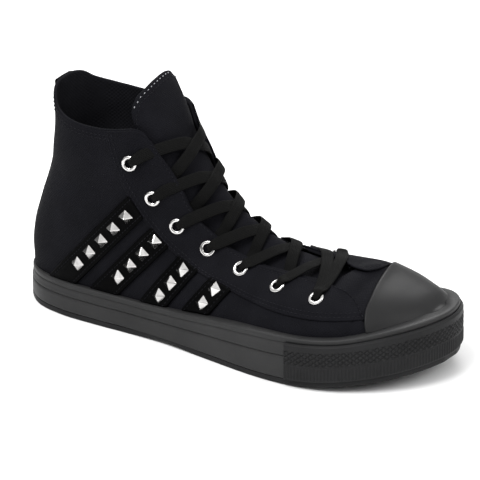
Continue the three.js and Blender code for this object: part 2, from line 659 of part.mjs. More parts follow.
const group = new THREE.Group();
group.name = "high_top_sneaker";
group.position.set(-middleOf(0), -middleOf(1), 0);
for (const { name, made, material: look } of pieces) {
  const mesh = made.getMesh();
  const geometry = new THREE.BufferGeometry();
  geometry.setAttribute("position", new THREE.BufferAttribute(new Float32Array(mesh.vertProperties), 3));
  geometry.setIndex(new THREE.BufferAttribute(new Uint32Array(mesh.triVerts), 1));
  const object = new THREE.Mesh(geometry, look);
  object.name = name;
  group.add(object);
}

export default group;
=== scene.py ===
"""The looks of the high top sneaker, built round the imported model.

Shapes are worked out in shoe coordinates: millimetres from the back of the heel, x to the toe,
y to the inner side, z up. A place on the last (the form that the shoe is built on) is a complex
number q: its length counts the last's sections from the tip of the toe, its angle turns round a
section from the heel or the underfoot over the inner side to the instep.
"""
import math

import bmesh
import bpy
import numpy as np
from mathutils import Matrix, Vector


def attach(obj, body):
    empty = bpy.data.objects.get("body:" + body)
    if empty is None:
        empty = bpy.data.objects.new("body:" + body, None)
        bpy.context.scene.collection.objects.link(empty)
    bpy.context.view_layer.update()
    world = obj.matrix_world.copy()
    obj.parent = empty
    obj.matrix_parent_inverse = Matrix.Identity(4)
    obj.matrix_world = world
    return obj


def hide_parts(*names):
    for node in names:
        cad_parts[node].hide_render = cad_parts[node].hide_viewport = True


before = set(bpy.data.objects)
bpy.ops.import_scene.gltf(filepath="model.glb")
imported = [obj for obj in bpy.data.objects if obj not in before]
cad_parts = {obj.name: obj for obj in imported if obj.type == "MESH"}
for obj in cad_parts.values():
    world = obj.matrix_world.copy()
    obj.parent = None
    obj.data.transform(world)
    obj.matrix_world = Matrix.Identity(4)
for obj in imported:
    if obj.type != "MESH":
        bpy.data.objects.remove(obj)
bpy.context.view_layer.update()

MM = 0.001
FRAME_ORIGIN = np.array([133.0493, -0.5991, 0.0])   # the frame's origin in shoe coordinates
X, Y, Z = np.eye(3)
SLOPE = math.pi / 4                                  # the instep's mean slope
DOWN_SLOPE = np.array([math.cos(SLOPE), 0, -math.sin(SLOPE)])
OFF_SLOPE = np.array([math.sin(SLOPE), 0, math.cos(SLOPE)])
OUTER, INNER = -1, 1                                 # the shoe's two sides, as signs of y

LENGTH = 268
WALL = 2.0
TREAD = 3.2
FEATHER = 9
FACING = 1.2
STRAP = 1.7
CAP = 2.2
TONGUE = 3.0
LACE_WIDTH = 7.0
LACE_THICK = 1.2
EYELET_RIM = 4.65
EYELET_HOLE = 2.5
STUD_SIDE = 6.3
STUD_HEIGHT = 3.6

# backX, backZ, frontX, frontZ, backY, frontY, half width, widest at, back power, front power
LAST = np.array([
    [17.5, 152, 78, 152, 0, 0, 31.0, 0.44, 2.3, 2.9],
    [17.5, 131, 96, 125, 0, 0, 31.2, 0.42, 2.3, 2.8],
    [18.5, 114, 104, 109, 0, 0, 31.5, 0.42, 2.3, 2.6],
    [17.5, 98, 112, 98, 0, 0, 32.0, 0.42, 2.3, 2.4],
    [14.2, 80, 121, 88, 0, 0, 32.0, 0.40, 2.3, 2.1],
    [7.6, 60, 129, 80, 0, 0, 31.5, 0.38, 2.35, 1.9],
    [2.6, 42, 138, 73.5, 0, 0, 31.0, 0.37, 2.5, 1.8],
    [2.0, 26, 146, 69, 0, 0, 30.8, 0.36, 2.5, 1.8],
    [7.0, 6, 154, 65, -0.5, 0, 31.0, 0.34, 2.5, 1.8],
    [40, 3, 161, 62, -2, 0, 31.3, 0.31, 3.2, 1.8],
    [90, 3, 169, 59.5, -4, 0, 32.0, 0.30, 3.6, 1.8],
    [130, 3, 178, 57.5, -5.5, 0, 35.8, 0.30, 4.0, 1.9],
    [160, 3, 190, 56, -4.5, 0, 41.5, 0.33, 4.0, 2.0],
    [185, 3.5, 203, 55.5, -3, 0.5, 45.5, 0.35, 4.0, 2.0],
    [207, 5, 216, 54.5, 0, 1, 46.0, 0.38, 3.6, 2.1],
    [226, 7.5, 229, 49.5, 3, 3, 43.0, 0.40, 3.4, 2.28],
    [241, 10.5, 241, 46, 5, 5, 35.5, 0.42, 3.2, 2.28],
    [251, 13.5, 251, 42.5, 8.2, 8.2, 26.0, 0.44, 3.0, 2.28],
    [257.5, 17, 257.5, 37.8, 9.0, 9.0, 16.0, 0.46, 2.6, 2.28],
    [261.4, 23, 261.8, 36, 9.0, 9.0, 7.5, 0.48, 2.2, 2.2],
    [262.5, 29, 262.6, 30, 9.0, 9.0, 0.3, 0.50, 2.2, 2.2],
])
TIP = len(LAST) - 1

# the outsole from above: x, and the distance of its outer and inner edge from the heel's axis
SOLE = np.array([
    [2.5, 12, 12], [9, 21, 21], [19, 28.5, 28.5], [37, 34, 33.5], [60, 36, 34.5], [85, 37, 33],
    [110, 39.5, 32], [140, 44.5, 34.5], [167, 49.5, 41], [190, 52, 47.5], [208, 51.5, 50.5],
    [225, 47, 51], [242, 37, 47], [254, 25.5, 39.5], [262, 13, 30], [266.5, 1, 19],
])
SOLE_TIP = [LENGTH, 9]

# the throat between the facings: distance down the instep's slope, reach to the outer and the inner side
THROAT = [[-70, 29, 29], [-21, 24.5, 24.5], [0, 21.5, 21.5], [20, 19, 19], [40, 17, 17], [62, 16, 15.5],
          [82, 17.5, 12], [100, 19, 5]]
THROAT_END = 110
# each facing: its edge along the throat (slope distance, reach), its lower seam (x, z) and its rounded
# front (x, y, z)
FACING_EDGE = {
    OUTER: [[-70, 29], [-21, 24.5], [0, 21.5], [20, 19], [40, 17], [62, 16.4], [82, 18.6], [99.8, 21.7],
            [110.8, 22.5]],
    INNER: [[-70, 29], [-21, 24.5], [0, 21.5], [20, 19], [40, 17], [62, 15.6], [82, 12], [96.2, 6.6],
            [100, 5], [106.8, 0.6]],
}
FACING_SEAM = {
    OUTER: [[62, 136], [66, 116], [73, 96], [80.5, 81], [92, 64], [110, 49], [133, 41],
            [157, 37.6], [185, 37], [220, 39], [235, 39.8]],
    INNER: [[62, 136], [66, 116], [73, 96], [80.5, 81], [92, 64], [110, 49], [133, 41],
            [157, 38], [185, 38.4], [205, 39.6], [216.5, 41]],
}
FACING_FRONT = {
    OUTER: [[209.2, -23, 52.2], [214.8, -23.9, 51.6], [221.9, -24, 49.6], [227.6, -26, 46.4],
            [231.8, -29.5, 42.5], [235, -31.5, 39.8]],
    INNER: [[208, 0.2, 56.2], [213.8, -1.7, 55.8], [217.9, -0.8, 55.3], [219.7, 3.4, 54.7],
            [220.6, 8.6, 54.1], [220.9, 13.7, 53.4],
            [219.8, 20, 52.5], [218.5, 28, 49.8], [217, 36, 45], [216.5, 39.5, 41]],
}
# the collar's edge from the side, x and z, and its tilt to the outer side
RIM = [[-10, 133], [17, 131.5], [25, 124.5], [34, 121], [46, 119], [62, 118.6], [72, 119.6], [83, 121],
       [88, 119], [93, 113], [110, 113]]
RIM_TILT = math.tan(math.radians(2.5))
# eyelets from the collar down, x and z on each side of the shoe
EYELETS = {
    OUTER: [[81.5, 101], [94.4, 81.5], [108, 66], [126.7, 55.5], [149.6, 48.5], [177.8, 46.3], [205.4, 46.3]],
    INNER: [[81.5, 101], [94.4, 81.5], [108, 66], [126.7, 55.5], [149.6, 48.5], [168, 46.6], [190, 52]],
}
ROWS = len(EYELETS[OUTER])
STRAP_WIDTH = 13.5
# each strap: its lowest stud (x, z), the step to the next stud (x, z), the number of studs
STRAPS = [
    [47.1, 33.6, 7.9, 8.7, 5],
    [74.2, 30.9, 7.2, 8.2, 4],
    [103.0, 26.3, 5.7, 8.0, 3],
    [132.7, 28.6, 5.7, 7.9, 2],
]
HEEL_STUDS = [95, 77.5, 60, 42.5]
HEEL_STRIP_WIDTH = 15
HEEL_STRIP_LOW, HEEL_STRIP_HIGH = 21.2, 131.0
FACING_BACK = 0.5                                    # how squarely the heel's surface faces back
# the toe cap's rear edge from the outer side over the top to the inner side
CAP_EDGE = [[239.4, -33.8, 32.7], [238.1, -32.9, 36.4], [236.7, -31.2, 39.6], [234.5, -26.4, 44.4],
            [232.4, -16.7, 48.9], [230.4, -9.5, 50.9], [227.2, 3.5, 52.8], [224, 16, 53.2], [221.8, 23, 52.3],
            [218.1, 32.6, 49.2], [215.8, 40, 42], [214.5, 44, 34]]


# Numbers on the last

def columns_at(place):
    place = np.clip(place, 0, TIP)
    index = np.minimum(np.floor(place).astype(int), TIP - 1)
    t = (place - index)[..., None]
    before, low, high, after = (LAST[np.clip(index + k, 0, TIP)] for k in (-1, 0, 1, 2))
    t2, t3 = t * t, t ** 3
    return ((2 * t3 - 3 * t2 + 1) * low + (t3 - 2 * t2 + t) * (high - before) / 2
            + (3 * t2 - 2 * t3) * high + (t3 - t2) * (after - low) / 2)


def last_point(place, angle):
    place, angle = np.broadcast_arrays(place, angle)
    back_x, back_z, front_x, front_z, back_y, front_y, half, widest, back_power, front_power = np.moveaxis(
        columns_at(place), -1, 0)
    along, sideways = -np.cos(angle), np.sin(angle)
    behind = along < 0
    power = np.where(behind, back_power, front_power)
    reach = np.where(behind, widest, 1 - widest)
    share = widest + np.sign(along) * reach * np.abs(along) ** (2 / power)
    width = half * np.sign(sideways) * np.abs(sideways) ** (2 / power)
    return np.stack([back_x + (front_x - back_x) * share, back_y + (front_y - back_y) * share + width,
                     back_z + (front_z - back_z) * share], -1)


def unit(vectors):
    return vectors / np.maximum(np.linalg.norm(vectors, axis=-1, keepdims=True), 1e-9)


def last_normal(place, angle):
    step, near_tip = 0.012, TIP - 0.15
    place = np.minimum(place, near_tip)
    rows = last_point(np.minimum(place + step, TIP), angle) - last_point(np.maximum(place - step, 0), angle)
    round_it = last_point(place, angle + step) - last_point(place, angle - step)
    return unit(np.cross(round_it, rows))


def place_of(q):
    return TIP - np.abs(q), np.angle(q)


def chart(place, angle):
    return (TIP - place) * np.exp(1j * angle)


def surface(q, out=0.0):
    """Points on the last, moved out of it by a distance."""
    place, angle = place_of(q)
    return last_point(place, angle) + last_normal(place, angle) * np.asarray(out)[..., None]


def normals(q):
    return last_normal(*place_of(q))


COARSE_TURN = np.exp(1j * np.linspace(-math.pi, math.pi, 181)[:-1])
COARSE = (np.linspace(0.15, TIP, 110)[:, None] * COARSE_TURN[None]).ravel()
COARSE_POINTS, COARSE_NORMALS = surface(COARSE), normals(COARSE)


def located(targets, axes, facing=None, least=0.03):
    """Places whose distances along the axes are the targets, on the side that faces a direction."""
    targets, axes = np.asarray(targets, float), np.asarray(axes, float)
    allowed = np.ones(len(COARSE), bool) if facing is None else COARSE_NORMALS @ facing > least
    known, places = COARSE_POINTS[allowed] @ axes.T, COARSE[allowed]
    q = places[[np.argmin(((known - t) ** 2).sum(1)) for t in targets]]
    step = 1e-3
    for _ in range(14):
        miss = surface(q) @ axes.T - targets
        right = (surface(q + step) @ axes.T - targets - miss) / step
        ahead = (surface(q + 1j * step) @ axes.T - targets - miss) / step
        a, b, d = (right * right).sum(1), (right * ahead).sum(1), (ahead * ahead).sum(1)
        e, f = (right * miss).sum(1), (ahead * miss).sum(1)
        det = a * d - b * b + 1e-6
        move = -((d * e - b * f) + 1j * (a * f - b * e)) / det
        q = q + move * np.minimum(1, 0.5 / np.maximum(np.abs(move), 1e-9))
    return q


def measured(points):
    """Distances along a line of points."""
    steps = np.linalg.norm(np.diff(points, axis=0), axis=-1)
    return np.concatenate([[0], np.cumsum(steps)])


def evenly(values, distances, count):
    """The values of a line at evenly spaced distances."""
    at = np.linspace(0, distances[-1], count)
    values = np.asarray(values)
    if values.ndim == 1:
        return np.interp(at, distances, values.real) + (
            1j * np.interp(at, distances, values.imag) if np.iscomplexobj(values) else 0)
    return np.stack([np.interp(at, distances, column) for column in values.T], -1)


def through(points, count, closed=False):
    """Evenly spaced points on a smooth line through the given ones."""
    points = np.asarray(points, float)
    if closed:
        points = np.concatenate([points[-2:], points, points[:3]])
    t = np.concatenate([[0], np.cumsum(np.linalg.norm(np.diff(points, axis=0), axis=1) ** 0.5)])
    slopes = np.gradient(points, t, axis=0)
    start, end = (t[2], t[-3]) if closed else (t[0], t[-1])
    at = np.linspace(start, end, 30 * len(points))
    i = np.clip(np.searchsorted(t, at, side="right") - 1, 0, len(t) - 2)
    span = (t[i + 1] - t[i])[:, None]
    u = ((at - t[i])[:, None]) / span
    line = ((2 * u ** 3 - 3 * u ** 2 + 1) * points[i] + (u ** 3 - 2 * u ** 2 + u) * span * slopes[i]
            + (3 * u ** 2 - 2 * u ** 3) * points[i + 1] + (u ** 3 - u ** 2) * span * slopes[i + 1])
    return evenly(line, measured(line), count + 1)[:-1] if closed else evenly(line, measured(line), count)


def side_line(points, side, count=150):
    return located(through(points, count), [X, Z], side * Y)


def slope_line(points, count=150):
    return located(through(points, count), [DOWN_SLOPE, Y], OFF_SLOPE)


def near_line(points, count=120):
    return located(through(points, count), [X, Y, Z])


def line_evenly(q, count):
    return evenly(q, measured(surface(q)), count)


def smooth(low, high, value):
    t = np.clip((np.asarray(value, float) - low) / (high - low), 0, 1)
    return t * t * (3 - 2 * t)


RIM_LINE = through(RIM, 400)
THROAT_LINE = through(THROAT, 300)


def over_rim(points):
    """How far points lie above the collar's edge."""
    return points[..., 2] - points[..., 1] * RIM_TILT - np.interp(points[..., 0], *RIM_LINE.T)


def in_throat(points, side):
    """How far points lie outside the throat's edge of one side, and which the throat reaches."""
    s = points @ DOWN_SLOPE
    start, outer, inner = THROAT[-1]
    middle = (inner - outer) / 2
    reach = np.interp(s, THROAT_LINE[:, 0], THROAT_LINE[:, 1 if side == OUTER else 2])
    closing = np.sqrt(np.clip(1 - ((s - start) / (THROAT_END - start)) ** 2, 0, 1))
    closed = side * middle + (outer + inner) / 2 * closing
    return side * points[..., 1] - np.where(s < start, reach, closed), s < THROAT_END


def spring(x):
    start, rise = 172, 10.5
    return rise * np.clip((x - start) / (LENGTH - start), 0, 1) ** 2


def underside(x):
    heel_end, heel_rise = 16, 2.5
    arch_start, arch_end, arch_rise = 78, 142, 1.4
    heel = np.clip((heel_end - x) / heel_end, 0, 1)
    way = (x - arch_start) / (arch_end - arch_start)
    arch = np.where((way > 0) & (way < 1), np.sin(math.pi * way) ** 2, 0)
    return spring(x) + heel_rise * heel ** 2 + arch_rise * arch


def foxing_top(x):
    return 20.5 + 7.5 * smooth(90, 195, x) + 1.5 * smooth(225, 255, x) + spring(x) * 0.9


def groove_height(x):
    return spring(x) + (foxing_top(x) - spring(x)) * 0.6


def solved(value, low, high, rounds=34):
    """Where a falling value passes zero between low and high, for many at once."""
    low, high = np.array(low, float), np.array(high, float)
    for _ in range(rounds):
        middle = (low + high) / 2
        over = value(middle) > 0
        low, high = np.where(over, middle, low), np.where(over, high, middle)
    return (low + high) / 2


def coons(left, right, top, bottom, rows, columns):
    """A grid of places between four lines: left and right run down, top and bottom run to the right."""
    left, right = line_evenly(left, rows), line_evenly(right, rows)
    top, bottom = line_evenly(top, columns), line_evenly(bottom, columns)
    v, u = np.linspace(0, 1, rows)[:, None], np.linspace(0, 1, columns)[None]
    corners = (1 - v) * ((1 - u) * top[0] + u * top[-1]) + v * ((1 - u) * bottom[0] + u * bottom[-1])
    return (1 - u) * left[:, None] + u * right[:, None] + (1 - v) * top[None] + v * bottom[None] - corners


# Meshes

def grid_faces(rows, columns, start=0, wrap=False):
    across = columns if wrap else columns - 1
    i, j = np.meshgrid(np.arange(rows - 1), np.arange(across), indexing="ij")
    follow = (j + 1) % columns
    near, far = i * columns, (i + 1) * columns
    quads = np.stack([near + j, near + follow, far + follow, far + j], -1)
    return quads.reshape(-1, 4) + start


def ring_faces(rows, columns):
    """Faces of a grid that closes on itself both ways."""
    last, here = (rows - 1) * columns, np.arange(columns)
    follow = (here + 1) % columns
    closing = np.stack([last + here, last + follow, follow, here], -1)
    return np.concatenate([grid_faces(rows, columns, wrap=True), closing])


def edge_profile(thick, radius, steps=4):
    """Offsets outward and up along a rounded edge, from the upper face down to the lower one."""
    turn = np.linspace(0, math.pi / 2, steps)
    upper = np.stack([radius * np.sin(turn), radius * np.cos(turn) - radius], -1)
    lower = np.stack([radius * np.cos(turn), radius - thick - radius * np.sin(turn)], -1)
    return np.concatenate([upper, lower if thick > 2 * radius + 1e-6 else lower[1:]])


def slab(points, up, thick, radius=None):
    """A grid of points as the upper face of a closed sheet with a rounded edge."""
    radius = thick / 2 if radius is None else radius
    rows, columns = points.shape[:2]
    index = np.arange(rows * columns).reshape(rows, columns)
    loop = np.concatenate([index[0, :-1], index[:-1, -1], index[-1, :0:-1], index[:0:-1, 0]])
    flat, flat_up = points.reshape(-1, 3), up.reshape(-1, 3)
    edge, edge_up = flat[loop], flat_up[loop]
    way = unit(np.roll(edge, -1, 0) - np.roll(edge, 1, 0))
    outward = unit(np.cross(way, edge_up))
    if np.mean(np.sum(outward * (edge - flat.mean(0)), 1)) < 0:
        outward = -outward
    lower = flat - flat_up * thick
    rings = [edge + outward * e + edge_up * n for e, n in edge_profile(thick, radius)[1:-1]]
    count, around = len(flat), len(loop)
    verts = np.concatenate([flat, lower, *rings])
    top = grid_faces(rows, columns)
    chain = [loop] + [2 * count + k * around + np.arange(around) for k in range(len(rings))] + [loop + count]
    faces = [top, top[:, ::-1] + count]
    for a, b in zip(chain, chain[1:]):
        faces.append(np.stack([a, b, np.roll(b, -1), np.roll(a, -1)], -1))
    return verts, np.concatenate(faces)


def joined(parts):
    """Several (points, faces) as one."""
    verts, faces, count = [], [], 0
    for points, loops in parts:
        verts.append(points)
        faces += [[int(v) + count for v in loop] for loop in loops]
        count += len(points)
    return np.concatenate(verts), faces


def linked(name, points, faces):
    """A mesh object in the scene from points in shoe coordinates."""
    mesh = bpy.data.meshes.new(name)
    mesh.from_pydata(((points - FRAME_ORIGIN) * MM).tolist(), [], [list(f) for f in faces])
    obj = bpy.data.objects.new(name, mesh)
    bpy.context.scene.collection.objects.link(obj)
    return obj


def face_outward(mesh, weld=0.0):
    """Turns a mesh's faces outward, after merging points that lie within a distance."""
    work = bmesh.new()
    work.from_mesh(mesh)
    if weld:
        bmesh.ops.remove_doubles(work, verts=work.verts, dist=weld * MM)
        bmesh.ops.dissolve_degenerate(work, edges=work.edges, dist=1e-7)
    bmesh.ops.recalc_face_normals(work, faces=work.faces)
    work.to_mesh(mesh)
    work.free()


def piece(name, points, faces, material, slot, nodes=(), weld=0.0, inside=None, flat=False):
    """A mesh in shoe coordinates as an object that rides on the frame and stands for CAD nodes."""
    obj = linked(name, points, faces)
    mesh = obj.data
    mesh.materials.append(material)
    if inside:
        mesh.materials.append(inside[0])
        mesh.polygons.foreach_set("material_index", inside[1].astype(np.int32))
    face_outward(mesh, weld)
    mesh.polygons.foreach_set("use_smooth", np.full(len(mesh.polygons), not flat))
    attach(obj, "root")
    if nodes:
        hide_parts(*nodes)
    return obj


def edge_distance(points):
    """For each point of a grid, its distance to the nearest of the four edges."""
    down = np.concatenate([np.zeros((1, points.shape[1])),
                           np.cumsum(np.linalg.norm(np.diff(points, axis=0), axis=-1), 0)])
    across = np.concatenate([np.zeros((points.shape[0], 1)),
                             np.cumsum(np.linalg.norm(np.diff(points, axis=1), axis=-1), 1)], 1)
    return np.minimum(np.minimum(down, down[-1:] - down), np.minimum(across, across[:, -1:] - across))


def stitches(points, up, pitch=2.6, long=1.9, radius=0.27, sink=0.0):
    """Short threads laid end to end along a line of points."""
    distances = measured(points)
    count = max(2, int(distances[-1] / pitch))
    at, tops = evenly(points, distances, count), evenly(up, distances, count)
    way, tops = unit(np.gradient(at, axis=0)), unit(tops)
    side = unit(np.cross(way, tops))
    bend, turn = np.linspace(-1, 1, 6), np.linspace(0, 2 * math.pi, 7)[:-1]
    parts = []
    for p, w, s, n in zip(at, way, side, tops):
        rings = []
        for b in bend:
            thick = radius * math.sqrt(max(0.04, 1 - b * b))
            middle = p + w * b * long / 2 + n * (radius * 0.6 - 0.25 * radius * b * b * 4 - sink)
            rings.append(middle + np.outer(np.cos(turn), s) * thick + np.outer(np.sin(turn), n) * thick)
        verts = np.concatenate(rings)
        quads = grid_faces(len(bend), len(turn), wrap=True)
        last = (len(bend) - 1) * len(turn)
        ends = [[5, 4, 1, 0], [4, 3, 2, 1], [last, last + 1, last + 4, last + 5],
                [last + 1, last + 2, last + 3, last + 4]]
        parts.append((verts, np.concatenate([quads, np.array(ends)])))
    return joined(parts)


# Materials

def node(tree, kind, inputs=None, **settings):
    made = tree.nodes.new("ShaderNode" + kind)
    for key, value in settings.items():
        setattr(made, key, value)
    for key, value in (inputs or {}).items():
        if isinstance(value, bpy.types.NodeSocket):
            tree.links.new(value, made.inputs[key])
        else:
            made.inputs[key].default_value = value
    return made


def math_node(tree, operation, *values):
    made = tree.nodes.new("ShaderNodeMath")
    made.operation = operation
    for i, value in enumerate(values):
        if isinstance(value, bpy.types.NodeSocket):
            tree.links.new(value, made.inputs[i])
        else:
            made.inputs[i].default_value = value
    return made.outputs[0]


def new_material(name, roughness, **sockets):
    made = bpy.data.materials.new(name)
    made.use_nodes = True
    shader = made.node_tree.nodes["Principled BSDF"]
    shader.inputs["Roughness"].default_value = roughness
    for key, value in sockets.items():
        shader.inputs[key.replace("_", " ")].default_value = value
    return made, made.node_tree, shader


def mottled(tree, vector, scale, dark, light, detail=3.0):
    """A colour that drifts between two over the surface."""
    noise = node(tree, "TexNoise", {"Vector": vector, "Scale": scale, "Detail": detail, "Roughness": 0.6})
    ramp = node(tree, "ValToRGB", {"Fac": noise.outputs["Fac"]})
    ramp.color_ramp.elements[0].position, ramp.color_ramp.elements[1].position = 0.32, 0.68
    ramp.color_ramp.elements[0].color = (*dark, 1)
    ramp.color_ramp.elements[1].color = (*light, 1)
    return ramp.outputs["Color"]


def weave(tree, vector, pitch):
    """Height of a plain weave on a surface that faces any way. The pitch is in metres."""
    scaled = node(tree, "VectorMath", {0: vector, 1: (math.pi / pitch,) * 3}, operation="MULTIPLY")
    waves = node(tree, "VectorMath", {0: scaled.outputs[0]}, operation="SINE")
    wave = node(tree, "SeparateXYZ", {0: waves.outputs[0]}).outputs
    geometry = node(tree, "NewGeometry")
    squared = node(tree, "VectorMath", {0: geometry.outputs["Normal"], 1: geometry.outputs["Normal"]},
                   operation="MULTIPLY")
    facing = node(tree, "SeparateXYZ", {0: squared.outputs[0]}).outputs
    total = None
    for a, b, c in ((1, 2, 0), (0, 2, 1), (0, 1, 2)):
        part = math_node(tree, "MULTIPLY", math_node(tree, "MULTIPLY", wave[a], wave[b]), facing[c])
        total = part if total is None else math_node(tree, "ADD", total, part)
    return total


def bump(tree, shader, height, strength, distance):
    made = node(tree, "Bump", {"Height": height, "Strength": strength, "Distance": distance})
    tree.links.new(made.outputs[0], shader.inputs["Normal"])


def cloth(name, dark, light, pitch, roughness, strength=0.5, **sockets):
    made, tree, shader = new_material(name, roughness, **sockets)
    vector = node(tree, "TexCoord").outputs["Object"]
    tree.links.new(mottled(tree, vector, 45, dark, light), shader.inputs["Base Color"])
    fuzz = node(tree, "TexNoise", {"Vector": vector, "Scale": 900, "Detail": 2.0})
    height = math_node(tree, "ADD", weave(tree, vector, pitch), fuzz.outputs["Fac"])
    bump(tree, shader, height, strength, 0.00018)
    return made


def rubber(name, dark, light, roughness, grain=700, strength=0.25, **sockets):
    made, tree, shader = new_material(name, roughness, **sockets)
    vector = node(tree, "TexCoord").outputs["Object"]
    tree.links.new(mottled(tree, vector, 28, dark, light, 5.0), shader.inputs["Base Color"])
    fine = node(tree, "TexNoise", {"Vector": vector, "Scale": grain, "Detail": 3.0})
    bump(tree, shader, fine.outputs["Fac"], strength, 0.00025)
    rough = node(tree, "MapRange", {"Value": fine.outputs["Fac"], "To Min": roughness - 0.07,
                                    "To Max": roughness + 0.07})
    tree.links.new(rough.outputs[0], shader.inputs["Roughness"])
    return made


def braided(name, dark, light):
    """The laces' flat braid, from the distances along and across that the mesh carries."""
    made, tree, shader = new_material(name, 0.7, Specular_IOR_Level=0.05)
    place = node(tree, "Attribute", attribute_name="braid").outputs["Vector"]
    along, across, _ = node(tree, "SeparateXYZ", {0: place}).outputs
    slant_width, chevron_pitch, rib_pitch = 1.4, 1.1, 0.9

    def wave(value, period):
        return math_node(tree, "SINE", math_node(tree, "MULTIPLY", value, 2 * math.pi / period))

    slant = math_node(tree, "ABSOLUTE", wave(across, 2 * slant_width))
    chevron = wave(math_node(tree, "ADD", along, slant), chevron_pitch)
    height = math_node(tree, "ADD", chevron, wave(across, rib_pitch))
    # the braid's colour follows its height: painted shade in the braid's grooves, lighter on its raised ribs
    painted_braid_shade = node(tree, "MapRange", {"Value": height, "From Min": -2.0, "From Max": 2.0})
    mix = node(tree, "Mix", {0: painted_braid_shade.outputs[0], 6: (*dark, 1), 7: (*light, 1)}, data_type="RGBA")
    tree.links.new(mix.outputs[2], shader.inputs["Base Color"])
    bump(tree, shader, height, 0.5, 0.00012)
    return made


def nickel(name, roughness):
    made, tree, shader = new_material(name, roughness, Metallic=1.0)
    vector = node(tree, "TexCoord").outputs["Object"]
    colour = mottled(tree, vector, 300, (0.56, 0.55, 0.54), (0.74, 0.73, 0.72))
    tree.links.new(colour, shader.inputs["Base Color"])
    worn = node(tree, "TexNoise", {"Vector": vector, "Scale": 1500, "Detail": 2.0})
    rough = node(tree, "MapRange", {"Value": worn.outputs["Fac"], "To Min": roughness * 0.6,
                                    "To Max": roughness * 1.5})
    tree.links.new(rough.outputs[0], shader.inputs["Roughness"])
    return made


CANVAS = cloth("canvas", (0.0040, 0.0040, 0.0055), (0.0062, 0.0062, 0.0082), 0.00085, 0.8,
               Specular_IOR_Level=0.06)
LINING = cloth("lining", (0.007, 0.007, 0.0085), (0.011, 0.011, 0.0132), 0.0011, 0.95,
               Specular_IOR_Level=0.05)
SATIN = cloth("satin", (0.0008, 0.0008, 0.0009), (0.0015, 0.0015, 0.0016), 0.0006, 0.45, 0.3,
              Specular_IOR_Level=0.025)
RUBBER = rubber("sole_rubber", (0.021, 0.021, 0.0214), (0.029, 0.029, 0.0295), 0.5,
                Specular_IOR_Level=0.16)
TREAD_RUBBER = rubber("tread_rubber", (0.012, 0.012, 0.0125), (0.018, 0.018, 0.0187), 0.55,
                      Specular_IOR_Level=0.12)
CAP_RUBBER = rubber("toe_cap_rubber", (0.0135, 0.0135, 0.0138), (0.017, 0.017, 0.0174), 0.45, 1400, 0.12,
                    Specular_IOR_Level=0.13)
LACE = braided("lace_braid", (0.0022, 0.0022, 0.0022), (0.0075, 0.0075, 0.0073))
METAL = nickel("nickel", 0.14)
THREAD = cloth("dark_thread", (0.008, 0.008, 0.0105), (0.013, 0.013, 0.016), 0.0004, 0.7,
               Specular_IOR_Level=0.08)
PALE_THREAD = cloth("pale_thread", (0.22, 0.22, 0.24), (0.38, 0.38, 0.40), 0.0004, 0.6)


# Creases and seams on the upper

# on the sides: from x, z to x, z, depth (a trough below zero, a ridge above), width, side of the shoe
SIDE_FOLDS = [
    [30, 84, 62, 78, -0.7, 9, OUTER], [22, 98, 58, 96, 0.5, 10, OUTER], [60, 100, 74, 86, -0.5, 6, OUTER],
    [40, 58, 70, 66, 0.4, 10, OUTER], [96, 57, 112, 40, -0.5, 7, OUTER], [120, 39, 150, 33, 0.4, 6, OUTER],
    [160, 34, 205, 37, -0.5, 5, OUTER], [28, 86, 60, 80, -0.9, 9, INNER], [24, 100, 60, 97, 0.6, 9, INNER],
    [64, 66, 96, 60, -0.7, 9, INNER], [80, 46, 120, 36, 0.6, 9, INNER], [130, 34, 170, 32, -0.6, 8, INNER],
    [180, 36, 215, 40, -0.6, 5, INNER],
]
# on the vamp, from above: from x, y to x, y, depth, width
VAMP_FOLDS = [[206, -18, 212, 18, -0.8, 4.5], [217, -22, 220, 14, 0.5, 4], [224, -20, 223, 8, -0.5, 3]]
QUARTER_EDGE = [[236, 46], [236.3, 41], [237.4, 36], [238.8, 28]]
SIDE_SEAM = [229.5, 40, 229.5, 28]


def from_segment(u, v, u0, v0, u1, v1):
    du, dv = u1 - u0, v1 - v0
    t = np.clip(((u - u0) * du + (v - v0) * dv) / (du * du + dv * dv), 0, 1)
    return np.hypot(u - u0 - du * t, v - v0 - dv * t)


def relief(points):
    """How far the upper's soft troughs and ridges move its surface out."""
    x, y, z = np.moveaxis(points, -1, 0)
    out = np.zeros(x.shape)
    for u0, v0, u1, v1, depth, width, side in SIDE_FOLDS:
        out += depth * np.exp(-(from_segment(x, z, u0, v0, u1, v1) / width) ** 2) * smooth(6, 18, y * side)
    for u0, v0, u1, v1, depth, width in VAMP_FOLDS:
        out += depth * np.exp(-(from_segment(x, y, u0, v0, u1, v1) / width) ** 2) * smooth(44, 50, z)
    return out


def seams(points):
    """The step at the side panels' front edge and the short seam behind it."""
    x, y, z = np.moveaxis(points, -1, 0)
    edge = np.interp(-z, [-p[1] for p in QUARTER_EDGE], [p[0] for p in QUARTER_EDGE])
    behind = edge - x
    low = (1 - smooth(42, 46, z)) * smooth(20, 26, np.abs(y))
    step = 0.6 * smooth(-0.5, 0.5, behind) * np.exp(-np.maximum(behind, 0) / 14)
    groove = -0.45 * np.exp(-(from_segment(x, z, *SIDE_SEAM) / 0.7) ** 2)
    return (step + groove) * low


# The upper

TURN = np.linspace(0, math.pi, 361)


def rim_places(side):
    """The section that meets the collar's edge, for each angle of TURN."""
    def over(place):
        return over_rim(last_point(place, side * TURN))
    return solved(over, np.zeros(TURN.shape), np.full(TURN.shape, 5.0))


RIM_PLACES = {side: rim_places(side) for side in (OUTER, INNER)}
RIM_MEAN = float(np.mean(RIM_PLACES[OUTER][:240]))


def rim_chart(side, angles, below=0.0):
    """Places on the collar's edge, or a little below it."""
    return chart(np.interp(angles, TURN, RIM_PLACES[side]) + below, side * angles)


